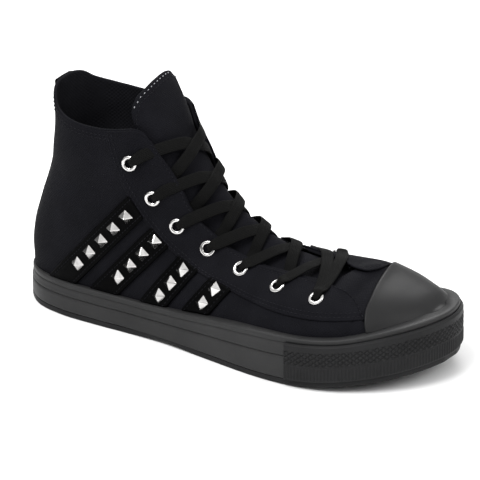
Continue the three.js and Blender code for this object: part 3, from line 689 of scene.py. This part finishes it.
def half_upper(side, rows, columns):
    """Places of half the upper: rows run to the toe, columns from the lower edge to the throat."""
    dense = np.linspace(RIM_MEAN, TIP, 900)
    base = evenly(dense, measured(last_point(dense, math.pi / 2 * side)), rows)
    fade = 1 - smooth(RIM_MEAN, RIM_MEAN + 4, base)

    def place(i, angle):
        return base[i] + fade[i] * (np.interp(angle, TURN, RIM_PLACES[side]) - RIM_MEAN)

    row = np.arange(rows)

    def beside_throat(angle):
        outside, there = in_throat(last_point(place(row, angle), side * angle), side)
        return np.where(there, outside, 1.0)

    def under_feather(angle):
        p = last_point(place(row, angle), side * angle)
        return FEATHER + spring(p[:, 0]) - p[:, 2]

    high = solved(beside_throat, np.full(rows, math.pi / 2), np.full(rows, math.pi))
    low = solved(under_feather, np.zeros(rows), np.full(rows, 1.6))
    high[high > math.pi - 1e-4], low[low < 1e-4] = math.pi, 0
    q = np.empty((rows, columns), complex)
    for i in range(rows):
        angles = np.linspace(low[i], high[i], 220)
        line = last_point(place(i, angles), side * angles)
        angles = evenly(angles, measured(line), columns)
        q[i] = chart(place(i, angles), side * angles)
    q[-1] = 0
    return q, int(np.argmax(high >= math.pi)), np.flatnonzero(low > 0)


def make_upper():
    rows, columns = 250, 74
    parts, inside, count = [], [], 0
    for side in (OUTER, INNER):
        q, throat_row, open_rows = half_upper(side, rows, columns)
        base, up = surface(q), normals(q)
        up[-1] = X
        outer = base + up * (relief(base) + seams(base))[..., None]
        inner = base + up * (relief(base) - WALL)[..., None]
        index = np.arange(rows * columns).reshape(rows, columns)
        size = rows * columns
        top = grid_faces(rows, columns)
        rim = np.concatenate([index[0], index[1:throat_row + 1, -1]])
        flat, flat_inner, flat_up = outer.reshape(-1, 3), inner.reshape(-1, 3), up.reshape(-1, 3)
        throat_rows = outer[1:throat_row + 1]
        away = np.concatenate([outer[0] - outer[1], throat_rows[:, -1] - throat_rows[:, -2]])
        away[columns - 1] += outer[0, -1] - outer[0, -2]
        away[-1] = outer[throat_row, -1] - outer[throat_row + 1, -1]
        away = unit(away - flat_up[rim] * np.sum(away * flat_up[rim], 1, keepdims=True))
        rings, chain = [], [rim]
        for k, turn in enumerate(np.linspace(0, math.pi, 7)[1:-1]):
            middle, reach = (flat[rim] + flat_inner[rim]) / 2, (flat[rim] - flat_inner[rim]) / 2
            rings.append(middle + reach * math.cos(turn) + away * math.sin(turn) * WALL / 2)
            chain.append(2 * size + k * len(rim) + np.arange(len(rim)))
        chain.append(rim + size)
        faces = [top, top[:, ::-1] + size]
        faces += [np.stack([a[:-1], b[:-1], b[1:], a[1:]], -1) for a, b in zip(chain, chain[1:])]
        feather = index[open_rows[0] - 1:open_rows[-1] + 2, 0]
        faces.append(np.stack([feather[:-1], feather[1:], feather[1:] + size, feather[:-1] + size], -1))
        inside.append(np.concatenate([np.full(len(f), n == 1 or n > 4) for n, f in enumerate(faces)]))
        verts = np.concatenate([flat, flat_inner, *rings])
        parts.append((verts, np.concatenate(faces)))
    points, faces = joined(parts)
    punch(piece("upper_canvas", points, faces, CANVAS, "canvas", ["upper"], weld=0.01,
                inside=(LINING, np.concatenate(inside))))


def eyelet_seat(side, row):
    x, z = EYELETS[side][row]
    q = located([[x, z]], [X, Z], side * Y)
    return surface(q)[0] + normals(q)[0] * float(relief(surface(q))[0]), normals(q)[0], q[0]


SEATS = {(side, row): eyelet_seat(side, row) for side in (OUTER, INNER) for row in range(ROWS)}


def ring_of(at, normal, radius, count, height=0.0):
    """Points on a circle round a normal."""
    side = unit(np.cross(normal, Z if abs(normal[2]) < 0.8 else X))
    other = np.cross(normal, side)
    turn = np.linspace(0, 2 * math.pi, count + 1)[:-1]
    return at + normal * height + radius * (np.outer(np.cos(turn), side) + np.outer(np.sin(turn), other))


def punch(obj):
    """Cuts the eyelet holes through a piece."""
    sides, deep, parts = 20, 6, []
    for at, normal, _ in SEATS.values():
        low, high = (ring_of(at, normal, EYELET_HOLE + 0.55, sides, h) for h in (-deep, deep))
        verts = np.concatenate([low, high, [at - normal * deep], [at + normal * deep]])
        pairs = [(k, (k + 1) % sides) for k in range(sides)]
        faces = [[a, b, sides + b, sides + a] for a, b in pairs]
        faces += [[b, a, 2 * sides] for a, b in pairs]
        faces += [[sides + a, sides + b, 2 * sides + 1] for a, b in pairs]
        parts.append((verts, faces))
    tool = linked("punch", *joined(parts))
    face_outward(tool.data)
    cut = obj.modifiers.new("holes", "BOOLEAN")
    cut.operation = "DIFFERENCE"
    cut.solver = "MANIFOLD"
    cut.object = tool
    graph = bpy.context.evaluated_depsgraph_get()
    result = bpy.data.meshes.new_from_object(obj.evaluated_get(graph))
    obj.modifiers.clear()
    obj.data = result
    bpy.data.objects.remove(tool)


# Overlays

def overlay(name, q, thick, material, slot, nodes, base=-0.1, edge_dip=0.25, lift=None, radius=None):
    """A sheet that lies on the upper over a grid of places; returns the piece and its upper face."""
    points, up = surface(q), normals(q)
    out = base + thick + relief(points) - edge_dip * np.exp(-((edge_distance(points) - 1.9) / 0.8) ** 2)
    if lift is not None:
        out = out + lift
    top = points + up * out[..., None]
    verts, faces = slab(top, up, thick, radius)
    return piece(name, verts, faces, material, slot, nodes), top, up


def inset_line(top, up, side, distance):
    """A line on a sheet's face at a distance from one of its edges: left, right, top or bottom."""
    if side in ("top", "bottom"):
        top, up = np.swapaxes(top, 0, 1), np.swapaxes(up, 0, 1)
    if side in ("right", "bottom"):
        top, up = top[:, ::-1], up[:, ::-1]
    lines = [[np.array([np.interp(distance, measured(row), row[:, k]) for k in range(3)]),
              np.array([np.interp(distance, measured(row), tilt[:, k]) for k in range(3)])]
             for row, tilt in zip(top, up)]
    return np.array([p for p, _ in lines]), np.array([n for _, n in lines])


def cut_line(points, up, margin):
    """A line without a length at each end."""
    distances = measured(points)
    keep = (distances >= margin) & (distances <= distances[-1] - margin)
    return points[keep], up[keep]


def facing_places(side, rows=230, columns=34):
    seam = side_line(FACING_SEAM[side], side, 400)
    seam = seam[over_rim(surface(seam)) < -0.4]
    edge = slope_line([[s, side * (reach + 0.05)] for s, reach in FACING_EDGE[side]], 400)
    edge = edge[over_rim(surface(edge)) < -0.4]
    front = near_line(FACING_FRONT[side], 80)[::-1]
    seam[-1], edge[-1] = front[0], front[-1]
    start, end = (abs(float(np.angle(line[0]))) for line in (seam, edge))
    rim = rim_chart(side, np.linspace(start, end, 60), 0.03)
    seam[0], edge[0] = rim[0], rim[-1]
    return coons(seam, edge, rim, front, rows, columns)


def make_facing(side):
    name = "eyestay_lateral" if side == OUTER else "eyestay_medial"
    q = facing_places(side)
    v, u = np.linspace(0, 1, q.shape[0])[:, None], np.linspace(0, 1, q.shape[1])[None]
    raised = 1.2 if side == INNER else 0.6
    lift = raised * smooth(0.90, 0.99, v) * smooth(0.45, 1.0, u)
    made, top, up = overlay(name + "_canvas", q, FACING, CANVAS, "canvas", [name], lift=lift)
    punch(made)
    rows = [stitches(*cut_line(*inset_line(top, up, edge, distance), 1.5))
            for edge, distance in (("left", 1.6), ("left", 4.0), ("right", 1.8), ("bottom", 1.6))]
    piece(name + "_stitches", *joined(rows), THREAD, "canvas")


def strap_places(x, z, run_x, run_z, rows=70, columns=26):
    way = np.array([run_x, run_z]) / math.hypot(run_x, run_z)
    across = np.array([-way[1], way[0]])
    reach = np.linspace(-30, 95, 500)
    seam = through(FACING_SEAM[OUTER], 400)
    edges = []
    for share in np.linspace(-0.5, 0.5, columns):
        line = np.array([x, z]) + across * STRAP_WIDTH * share + reach[:, None] * way
        low = reach[np.argmax(line[:, 1] > foxing_top(line[:, 0]) + 0.4)]
        above = line[:, 1] - np.interp(line[:, 0], seam[:, 0], seam[:, 1])
        high = reach[np.argmax(above > -0.2)]
        start = np.array([x, z]) + across * STRAP_WIDTH * share
        edges.append(start + np.linspace(low, high, rows)[:, None] * way)
    grid = np.stack(edges, 1)
    return located(grid.reshape(-1, 2), [X, Z], OUTER * Y).reshape(rows, columns)


def make_stud(name, at, normal, way):
    """A four-sided stud with a small flat tip, softened edges and a thin rim."""
    across = unit(np.cross(normal, way))
    along = np.cross(across, normal)
    half = STUD_SIDE / 2
    levels = [(-0.5, half), (0.0, half), (0.35, half), (0.55, half * 0.94), (STUD_HEIGHT * 0.93, 0.34),
              (STUD_HEIGHT, 0.1)]
    rings = []
    for height, size in levels:
        soft = min(0.35, size * 0.5)
        corners = [(size, size - soft), (size - soft, size), (-size + soft, size), (-size, size - soft),
                   (-size, -size + soft), (-size + soft, -size), (size - soft, -size), (size, -size + soft)]
        rings.append([at + along * a + across * b + normal * height for a, b in corners])
    around = len(rings[0])
    verts = np.array(rings).reshape(-1, 3)
    faces = capped(grid_faces(len(levels), around, wrap=True), around, len(verts))
    piece(name + "_nickel", verts, faces, METAL, "metal", [name], flat=True)


def capped(faces, around, count):
    """A tube's faces with one face over each end."""
    return faces.tolist() + [list(range(around)), list(range(count - around, count))]


def make_strip_stitches(name, top, up):
    """A row of stitches along each long edge of a strip."""
    rows = [stitches(*inset_line(top, up, side, 1.6), pitch=2.2, long=1.6, radius=0.22)
            for side in ("left", "right")]
    piece(name, *joined(rows), THREAD, "satin")


def make_straps():
    for n, (x, z, run_x, run_z, count) in enumerate(STRAPS):
        name = f"strap_{n + 1}"
        _, top, up = overlay(name + "_satin", strap_places(x, z, run_x, run_z), STRAP, SATIN, "satin", [name],
                             edge_dip=0.3)
        make_strip_stitches(name + "_stitches", top, up)
        for k in range(count):
            q = located([[x + k * run_x, z + k * run_z]], [X, Z], OUTER * Y)
            normal = normals(q)[0]
            at = surface(q)[0] + normal * (STRAP - 0.1 + float(relief(surface(q))[0]))
            make_stud(f"stud_{n + 1}_{k + 1}", at, normal, unit(np.array([run_x, 0, run_z])))


def make_heel_strip():
    rows, columns = 100, 24
    half = HEEL_STRIP_WIDTH / 2
    y = np.linspace(-half, half, columns)
    high = HEEL_STRIP_HIGH + y * RIM_TILT
    z = HEEL_STRIP_LOW + (high - HEEL_STRIP_LOW)[None] * np.linspace(0, 1, rows)[:, None]
    grid = np.stack([np.broadcast_to(y, z.shape), z], -1)
    q = located(grid.reshape(-1, 2), [Y, Z], -X, FACING_BACK).reshape(rows, columns)
    _, top, up = overlay("heel_strip_satin", q, STRAP, SATIN, "satin", ["heel_strip"], edge_dip=0.3)
    make_strip_stitches("heel_strip_stitches", top, up)
    for n, height in enumerate(HEEL_STUDS):
        q = located([[0, height]], [Y, Z], -X, FACING_BACK)
        normal = normals(q)[0]
        make_stud(f"heel_stud_{n + 1}", surface(q)[0] + normal * (STRAP - 0.1), normal, Z)


def foxing_line(side_from, side_to, lift, count=200):
    """Places along the sole's top edge round the toe, from one point to another, at a height above it."""
    def value(angle):
        p = last_point(place, angle * sign)
        return foxing_top(p[:, 0]) + lift - p[:, 2]
    lines = []
    for sign, start in ((OUTER, side_from), (INNER, side_to)):
        place = np.linspace(11, 18.95, count)
        angle = solved(value, np.zeros(count), np.full(count, 2.2))
        q = chart(place, sign * angle)
        x = surface(q)[:, 0]
        lines.append(q[x > start])
    return np.concatenate([lines[0], lines[1][::-1]])


def make_toe_cap():
    rear = near_line(CAP_EDGE, 300)
    rear = rear[surface(rear)[:, 2] > foxing_top(surface(rear)[:, 0]) + 0.4]
    starts = surface(rear[[0, -1]])[:, 0]
    around = foxing_line(starts[0], starts[1], 0.4)
    around[0], around[-1] = rear[0], rear[-1]
    rear, around = line_evenly(rear, 160), line_evenly(around, 160)
    fan = make_fan(rear, around, 110)
    points, up = surface(fan), normals(fan)
    out = CAP + 0.15 * np.exp(-(edge_distance(points) / 2.5) ** 2)
    top = points + up * out[..., None]
    verts, faces = slab(top, up, CAP, 0.8)
    piece("toe_cap_moulded", verts, faces, CAP_RUBBER, "cap_rubber", ["toe_cap"], weld=0.002)


def make_fan(rear, around, rows):
    """A grid whose two ends are short lines instead of points, so that no face collapses."""
    cut = 5
    left = np.concatenate([rear[cut::-1], around[1:cut + 1]])
    right = np.concatenate([rear[-cut - 1:], around[-2:-cut - 2:-1]])
    left, right = line_evenly(left, rows), line_evenly(right, rows)
    return coons(left, right, rear[cut:-cut], around[cut:-cut], rows, 150)


def make_tongue():
    left = slope_line([[-36.3, -24.6], [-34.6, -26], [-31.5, -26.8], [-20, -27.3], [-5, -26.6], [20, -25],
                       [60, -21], [100, -19], [117, -17]])
    right = slope_line([[-43, 22.5], [-40, 26.5], [-33, 28], [-18, 28], [20, 25], [60, 21], [100, 19],
                        [117, 17]])
    top_edge = slope_line([[-36.3, -24.6], [-38.7, -19.5], [-40.2, -10.5], [-41.9, -1], [-43.4, 13.6],
                           [-43, 22.5]])
    bottom = slope_line([[117, -17], [118, 0], [117, 17]])
    q = coons(left, right, top_edge, bottom, 150, 56)
    points, up = surface(q), normals(q)
    s, y = points @ DOWN_SLOPE, points[..., 1]
    out = -3.6 + 0.9 * np.exp(-(y / 14) ** 2) * smooth(-36, 10, s) * (1 - smooth(90, 108, s))
    out += 2.2 * np.exp(-(y / 10) ** 2) * smooth(0, 30, s) * (1 - smooth(72, 96, s))
    out -= 0.9 * np.exp(-(edge_distance(points) / 2.0) ** 2) * (s < 90)
    out += 0.8 * np.exp(-(((s + 30) * 0.6 + (y - 16)) / 7) ** 2) * (1 - smooth(-20, 0, s))
    out -= 0.6 * np.exp(-(((s + 22) * 0.8 - y - 6) / 6) ** 2) * (1 - smooth(-15, 5, s))
    out = np.minimum(out, -WALL - 1.0) * (s > 96) + out * (s <= 96)
    top = points + up * out[..., None]
    verts, faces = slab(top, up, TONGUE, 1.2)
    piece("tongue_canvas", verts, faces, CANVAS, "canvas", ["tongue"])
    line, tops = inset_line(top, up, "top", 0.5)
    near = line[:, 1] < 14
    points, faces = stitches(line[near], tops[near], pitch=3.1, long=1.3, radius=0.3)
    piece("tongue_edge_stitches", points, faces, PALE_THREAD, "lace")
    rows = [stitches(*cut_line(*inset_line(top, up, side, 3.0), 4)) for side in ("left", "right", "top")]
    piece("tongue_stitches", *joined(rows), THREAD, "canvas")


def make_collar_stitches():
    rows = []
    for below in (3.0, 5.4):
        for side in (OUTER, INNER):
            angles = np.linspace(0.26, 1.95, 160)
            q = chart(np.interp(angles, TURN, RIM_PLACES[side]) + below / 17, side * angles)
            points = surface(q)
            rows.append(stitches(points + normals(q) * relief(points)[..., None], normals(q)))
    piece("collar_stitches", *joined(rows), THREAD, "canvas")


# Eyelets and laces

def make_eyelet(side, row):
    at, normal, _ = SEATS[side, row]
    hole, rim, face = EYELET_HOLE, EYELET_RIM, FACING - 0.1
    roll = np.linspace(math.pi, 0, 9)
    middle, half = (hole + rim) / 2, (rim - hole) / 2
    profile = [(hole + 0.45, -3.4), (hole, -3.4), (hole, face + 0.2)]
    profile += [(middle + half * math.cos(t), face + 0.2 + 0.95 * math.sin(t)) for t in roll]
    profile += [(rim, face - 0.15), (hole + 0.45, face - 0.15)]
    count = 40
    rings = [ring_of(at, normal, radius, count, height) for radius, height in profile]
    name = f"eyelet_{'lateral' if side == OUTER else 'medial'}_{row + 1}"
    faces = ring_faces(len(rings), count)
    piece(name + "_ring", np.concatenate(rings), faces, METAL, "metal", [name], weld=0.001)


def strip_places(start, end, count=60):
    """Places along the straight way over the instep between two eyelets."""
    a, b = SEATS[start][0], SEATS[end][0]
    share = np.linspace(0, 1, count)[:, None]
    line = a * (1 - share) + b * share
    q = located(line @ np.array([DOWN_SLOPE, Y]).T, [DOWN_SLOPE, Y], OFF_SLOPE)
    q[0], q[-1] = SEATS[start][2], SEATS[end][2]
    return q


# distance from the eyelet's middle, height over the upper, width, thickness of the lace where it goes in
LACE_ENTRY = [[9.5, 1.9, 7.0, 1.2], [7.0, 2.05, 6.9, 1.2], [5.4, 2.6, 6.6, 1.25], [4.0, 3.15, 5.9, 1.4],
              [2.6, 2.9, 4.9, 1.7], [1.3, 1.9, 4.2, 2.0]]
LACE_HIDDEN = -2.95            # middle of the lace between the upper and the tongue


def strip_stations(start, end, middle, tucked):
    """Stations of one strip: place, side way, width, thickness."""
    q = strip_places(start, end)
    base = surface(q)
    reach = measured(base)
    total = reach[-1]
    raised = (LACE_ENTRY[0][1] + middle) / 2
    lace = (LACE_WIDTH, LACE_THICK)
    if tucked:
        keys = [(0.06 * total, LACE_HIDDEN, 6.0, LACE_THICK), (0.13 * total, LACE_HIDDEN, *lace),
                (0.20 * total, LACE_HIDDEN + 0.05, *lace),
                (0.30 * total, (LACE_HIDDEN + middle) / 2 + 0.2, *lace), (0.40 * total, middle - 0.3, *lace)]
    else:
        keys = [*LACE_ENTRY[::-1], (0.36 * total, raised + 0.2, *lace)]
    keys += [(0.5 * total, middle, *lace), (0.62 * total, raised + 0.15, *lace)]
    keys += [(total - d, h, w, t) for d, h, w, t in LACE_ENTRY]
    stations = []
    for d, h, w, t in keys:
        at = np.interp(d, reach, np.arange(len(q)))
        low = int(at)
        high = min(low + 1, len(q) - 1)
        share = at - low
        place = q[low] * (1 - share) + q[high] * share
        point, normal = surface(np.array([place]))[0], normals(np.array([place]))[0]
        way = unit(base[high] - base[max(low - 1, 0)])
        point = point + normal * (h + float(relief(point[None])[0]) * (1 if h > -1 else 0.5))
        stations.append(np.concatenate([point, np.cross(way, normal), [w, t]]))
    return stations


def lace_path(stops, middles):
    """A lace through a list of eyelets: stations of its strips, and of its way through each eyelet."""
    gathered = [4.0, 2.1]
    stations = []
    for n, (start, end) in enumerate(zip(stops, stops[1:])):
        stations += strip_stations(start, end, middles[n], tucked=n > 0)
        at, normal, _ = SEATS[end]
        side = stations[-1][3:6]
        stations.append(np.concatenate([at + normal * 0.2, side, gathered]))
        stations.append(np.concatenate([at - normal * 1.6, side, gathered]))
        if n + 2 == len(stops):
            way = unit(np.cross(side, normal))
            stations.append(np.concatenate([at - normal * 2.9 + way * 1.6, side, [4.6, 1.6]]))
            stations.append(np.concatenate([at - normal * 3.0 + way * 6.0, side, [6.5, 1.2]]))
    first, normal, _ = SEATS[stops[0]]
    side = stations[0][3:6]
    opening = [np.concatenate([first + normal * height, side, gathered]) for height in (-2.6, 0.4)]
    return np.array(opening + stations)


def make_lace(name, path, nodes):
    sides = path[:, 3:6].copy()
    for k in range(1, len(sides)):
        if np.dot(sides[k], sides[k - 1]) < -0.2:
            sides[k:] = -sides[k:]
    control = np.concatenate([path[:, :3], sides * 3, path[:, 6:]], 1)
    line = through(control, int(measured(path[:, :3])[-1] / 0.9))
    centre, width, thick = line[:, :3], line[:, 6], line[:, 7]
    way = unit(np.gradient(centre, axis=0))
    side = unit(line[:, 3:6] - way * np.sum(line[:, 3:6] * way, 1, keepdims=True))
    up = np.cross(side, way)
    turn = np.linspace(0, 2 * math.pi, 17)[:-1]
    a = np.sign(np.cos(turn)) * np.abs(np.cos(turn)) ** 0.55 / 2
    b = np.sign(np.sin(turn)) * np.abs(np.sin(turn)) ** 0.75 / 2
    rings = (centre[:, None] + side[:, None] * (a[None] * width[:, None])[..., None]
             + up[:, None] * (b[None] * thick[:, None])[..., None])
    count, around = rings.shape[:2]
    verts = rings.reshape(-1, 3)
    faces = capped(grid_faces(count, around, wrap=True), around, len(verts))
    obj = piece(name, verts, faces, LACE, "lace", nodes)
    braid = obj.data.attributes.new("braid", "FLOAT_VECTOR", "POINT")
    along = np.repeat(measured(centre), around)
    values = np.stack([along, np.tile(a, count) * LACE_WIDTH, np.zeros(len(along))], -1)
    braid.data.foreach_set("vector", values.astype(np.float32).ravel())


def make_laces():
    lowest = ROWS - 1
    bar = [(OUTER, lowest), (INNER, lowest)]
    bar += [((OUTER, INNER)[k % 2], lowest - 1 - k) for k in range(lowest)]
    climbing = [(OUTER, lowest)] + [((INNER, OUTER)[k % 2], lowest - 1 - k) for k in range(lowest)]
    over, under, bar_height = 2.0, 0.5, 2.8
    bar_middles = [bar_height] + [(under, over)[k % 2] for k in range(lowest)]
    climbing_middles = [(over, under)[k % 2] for k in range(lowest)]
    make_lace("lace_from_bar", lace_path(bar, bar_middles), ["lace_row_6", "lace_row_4", "lace_row_2"])
    make_lace("lace_climbing", lace_path(climbing, climbing_middles),
              ["lace_row_5", "lace_row_3", "lace_row_1"])


# The sole

def sole_stations(count):
    outline = ([[0, 0]] + [[x, -a] for x, a, _ in SOLE] + [SOLE_TIP] + [[x, b] for x, _, b in SOLE[::-1]])
    at = through(outline, count, closed=True)
    way = unit(np.roll(at, -1, 0) - np.roll(at, 1, 0))
    return at, np.stack([-way[:, 1], way[:, 0]], -1)


def ledge_width(at, inward):
    """From each station of the sole's outline, how far in the last's surface lies at the foxing's top."""
    outline = []
    for side in (OUTER, INNER):
        place = np.linspace(4, 19.6, 400)

        def above_top(angle):
            p = last_point(place, side * angle)
            return foxing_top(p[:, 0]) - p[:, 2]
        outline.append(last_point(place, side * solved(above_top, np.zeros(400), np.full(400, 2.4)))[:, :2])
    outline = np.concatenate(outline)
    away = outline[None] - at[:, None]
    along = np.sum(away * inward[:, None], -1)
    across = np.abs(away[..., 0] * inward[:, None, 1] - away[..., 1] * inward[:, None, 0])
    near = np.where((across < 2.0) & (along > 0.5) & (along < 25), along, np.inf).min(1)
    known = np.isfinite(near)
    return np.interp(np.arange(len(at)), np.flatnonzero(known), near[known])


def make_foxing():
    at, inward = sole_stations(520)
    x = at[:, 0]
    inner = ledge_width(at, inward) + 0.7
    low, groove, top = spring(x) + TREAD + 0.2, groove_height(x), foxing_top(x)
    second = top - 3.2
    keys = [(inner, low), (0.5, low), (0.1, low + 0.4), (0, low + 1.2), (0, groove - 1.6),
            (0.15, groove - 0.8), (0.9, groove - 0.35), (1.0, groove), (0.45, groove + 0.35),
            (0.0, groove + 0.9), (0.0, groove + 1.5), (0.25, groove + 2.0), (0.45, second - 1.2),
            (0.5, second - 0.5), (0.95, second - 0.15),
            (0.95, second + 0.1), (0.5, second + 0.5), (0.45, top - 1.1), (0.6, top - 0.5), (1.0, top - 0.12),
            (1.6, top), (inner, top)]
    inset = np.stack([k[0] + 0 * x for k in keys], -1)
    height = np.stack([k[1] for k in keys], -1)
    spot = at[:, None] + inward[:, None] * inset[..., None]
    points = np.concatenate([spot, height[..., None]], -1)
    count, around = points.shape[:2]
    faces = ring_faces(count, around)
    piece("foxing_band", points.reshape(-1, 3), faces, RUBBER, "rubber", ["foxing"])


def make_bumper():
    at, inward = sole_stations(1500)
    outer_start, inner_start = 197, 188
    keep = at[:, 0] > np.where(at[:, 1] < 0, outer_start, inner_start)
    at, inward = at[keep], inward[keep]
    along = measured(at)
    rows = np.linspace(0, 1, 64)
    low, top = spring(at[:, 0]) + TREAD + 0.3, foxing_top(at[:, 0]) - 3.0
    height = low[:, None] + (top - low)[:, None] * rows[None]
    out = 1.45 - 0.7 * smooth(0.95, 1.0, rows)[None] - 0.5 * (1 - smooth(0, 0.04, rows))[None]
    diamonds = smooth(0.42, 0.45, rows) * (1 - smooth(0.80, 0.83, rows))
    pitch, stretch, rib_pitch = 2.9, 0.8, 1.9
    a = (along[:, None] * stretch + height) / pitch
    b = (along[:, None] * stretch - height) / pitch
    knurl = np.minimum(np.abs(np.sin(math.pi * a)), np.abs(np.sin(math.pi * b)))
    out = out + diamonds[None] * (0.8 * smooth(0.05, 0.7, knurl) - 0.6)
    ribs = (1 - smooth(0.36, 0.39, rows)) * smooth(0.03, 0.06, rows)
    out = out + ribs[None] * 0.3 * np.sin(2 * math.pi * along[:, None] / rib_pitch)
    out = out - 0.3 * np.exp(-((rows - 0.405) / 0.012) ** 2)[None]
    spot = at[:, None] - inward[:, None] * out[..., None]
    points = np.concatenate([spot, height[..., None]], -1)
    up = np.concatenate([-inward, np.zeros((len(at), 1))], -1)
    verts, faces = slab(points, np.repeat(up[:, None], len(rows), 1), 1.4, 0.25)
    piece("toe_bumper_knurled", verts, faces, TREAD_RUBBER, "rubber", ["toe_bumper"])


def make_outsole():
    at, _ = sole_stations(2400)
    turn = np.linspace(0, math.pi, 420)
    edge = 0.9
    x = LENGTH / 2 - (LENGTH / 2 - edge) * np.cos(turn)
    split = int(np.argmax(at[:, 0]))
    outer, inner = at[:split + 1], at[split:][::-1]
    low = np.interp(x, outer[:, 0], outer[:, 1])
    high = np.interp(x, inner[:, 0], inner[:, 1])
    middle, half = (low + high) / 2, np.maximum((high - low) / 2 - edge, 0.4)
    y = middle[:, None] + half[:, None] * np.sin(np.linspace(-math.pi / 2, math.pi / 2, 80))[None]
    xs = np.broadcast_to(x[:, None], y.shape)
    from_edge = np.minimum(half[:, None] - np.abs(y - middle[:, None]), np.minimum(xs, LENGTH - xs))
    groove = np.zeros(y.shape)
    pitch, deep = 9, 1.5
    for start, end in ((14, 72), (150, 246)):
        phase = (xs - start) % pitch
        near = np.minimum(phase, pitch - phase)
        there = smooth(start - 2, start - 1, xs) * (1 - smooth(end, end + 1, xs))
        groove = np.maximum(groove, (1 - smooth(0.9, 1.4, near)) * there)
    depth = deep * groove * smooth(7.5, 8.6, from_edge)
    points = np.stack([xs, y, underside(xs) + depth], -1)
    verts, faces = slab(points, np.broadcast_to(-Z, points.shape), TREAD, 0.5)
    piece("outsole_tread", verts, faces, TREAD_RUBBER, "rubber", ["outsole"])


def make_insole():
    rows, columns, thick = 120, 40, 3.0
    x = np.linspace(4, 262, rows)
    low, high = (np.interp(x, *INSIDE[side][:, :2].T) for side in (OUTER, INNER))
    share = np.linspace(0, 1, columns)[None]
    y = low[:, None] * (1 - share) + high[:, None] * share
    bowl = 1.2 * np.abs(2 * share - 1) ** 3
    z = (FEATHER + 3.5 + spring(x))[:, None] + bowl
    points = np.stack([np.broadcast_to(x[:, None], y.shape), y, z], -1)
    verts, faces = slab(points, np.broadcast_to(Z, points.shape), thick, 0.8)
    piece("insole_cloth", verts, faces, LINING, "lining", ["insole"])


def inside_lines():
    """The inner wall's outline just over the insole, on each side."""
    lines = {}
    for side in (OUTER, INNER):
        place = np.linspace(7.2, 19.6, 200)

        def under_line(angle):
            p = last_point(place, side * angle)
            return FEATHER + 4.2 + spring(p[:, 0]) - p[:, 2]
        angle = solved(under_line, np.zeros(200), np.full(200, 2.2))
        p = surface(chart(place, side * angle), -WALL - 1.6)
        p = p[angle > 0.02]
        lines[side] = p[np.argsort(p[:, 0])]
    return lines


INSIDE = inside_lines()

make_upper()
make_insole()
make_tongue()
make_toe_cap()
for side in (OUTER, INNER):
    make_facing(side)
    for row in range(ROWS):
        make_eyelet(side, row)
make_heel_strip()
make_straps()
make_collar_stitches()
make_laces()
make_foxing()
make_bumper()
make_outsole()


# Floor, light and camera

def make_floor():
    mesh = bpy.data.meshes.new("floor")
    reach = 8.0
    corners = [(-reach, -reach, 0), (reach, -reach, 0), (reach, reach, 0), (-reach, reach, 0)]
    mesh.from_pydata(corners, [], [(0, 1, 2, 3)])
    floor = bpy.data.objects.new("floor", mesh)
    bpy.context.scene.collection.objects.link(floor)
    paper, _, shader = new_material("pale_floor", 0.9, Specular_IOR_Level=0.1)
    shader.inputs["Base Color"].default_value = (0.9, 0.9, 0.9, 1)
    mesh.materials.append(paper)


def direction_to(azimuth, elevation):
    a, e = math.radians(azimuth), math.radians(elevation)
    return Vector((math.sin(a) * math.cos(e), -math.cos(a) * math.cos(e), math.sin(e)))


def add_light(name, azimuth, elevation, distance, size, power):
    away = direction_to(azimuth, elevation)
    data = bpy.data.lights.new(name, "AREA")
    data.shape, data.size, data.energy = "DISK", size, power
    lamp = bpy.data.objects.new(name, data)
    lamp.location = away * distance
    lamp.rotation_euler = away.to_track_quat("Z", "Y").to_euler()
    bpy.context.scene.collection.objects.link(lamp)


def make_world():
    world = bpy.data.worlds.new("studio")
    world.use_nodes = True
    tree = world.node_tree
    background = tree.nodes["Background"]
    direction = node(tree, "TexCoord").outputs["Generated"]
    height = node(tree, "SeparateXYZ", {0: direction}).outputs[2]
    sky = node(tree, "MapRange", {"Value": height, "From Min": 0.05, "From Max": 0.75, "To Min": 0.12,
                                  "To Max": 1.1})
    tree.links.new(sky.outputs[0], background.inputs["Strength"])
    background.inputs["Color"].default_value = (1, 1, 1, 1)
    bpy.context.scene.world = world


def make_camera():
    """The photo's view: from the outer side, a little in front and above, from far away."""
    azimuth, elevation, distance = 32, 22, 3000.0
    photo_width_px, px_per_mm = 480, 1.777
    right_px, down_px = 2.2, 7.4
    sensor = 36
    away = direction_to(azimuth, elevation)
    data = bpy.data.cameras.new("camera")
    data.sensor_width = sensor
    data.lens = px_per_mm * distance / photo_width_px * sensor
    camera = bpy.data.objects.new("camera", data)
    right = Vector((math.cos(math.radians(azimuth)), math.sin(math.radians(azimuth)), 0))
    up = away.cross(right)
    middle = Vector((np.array([134.0119, 0.0009, 60.0]) - FRAME_ORIGIN) * MM)
    target = middle + (right * right_px - up * down_px) * (MM / px_per_mm)
    camera.location = target + away * distance * MM
    camera.rotation_euler = away.to_track_quat("Z", "Y").to_euler()
    bpy.context.scene.collection.objects.link(camera)
    bpy.context.scene.camera = camera


make_floor()
make_world()
add_light("key", -20, 62, 2.4, 1.4, 42)
add_light("side", 100, 35, 2.2, 1.0, 14)
add_light("back", 205, 40, 2.2, 1.2, 18)
make_camera()
bpy.context.scene.view_settings.view_transform = "Standard"
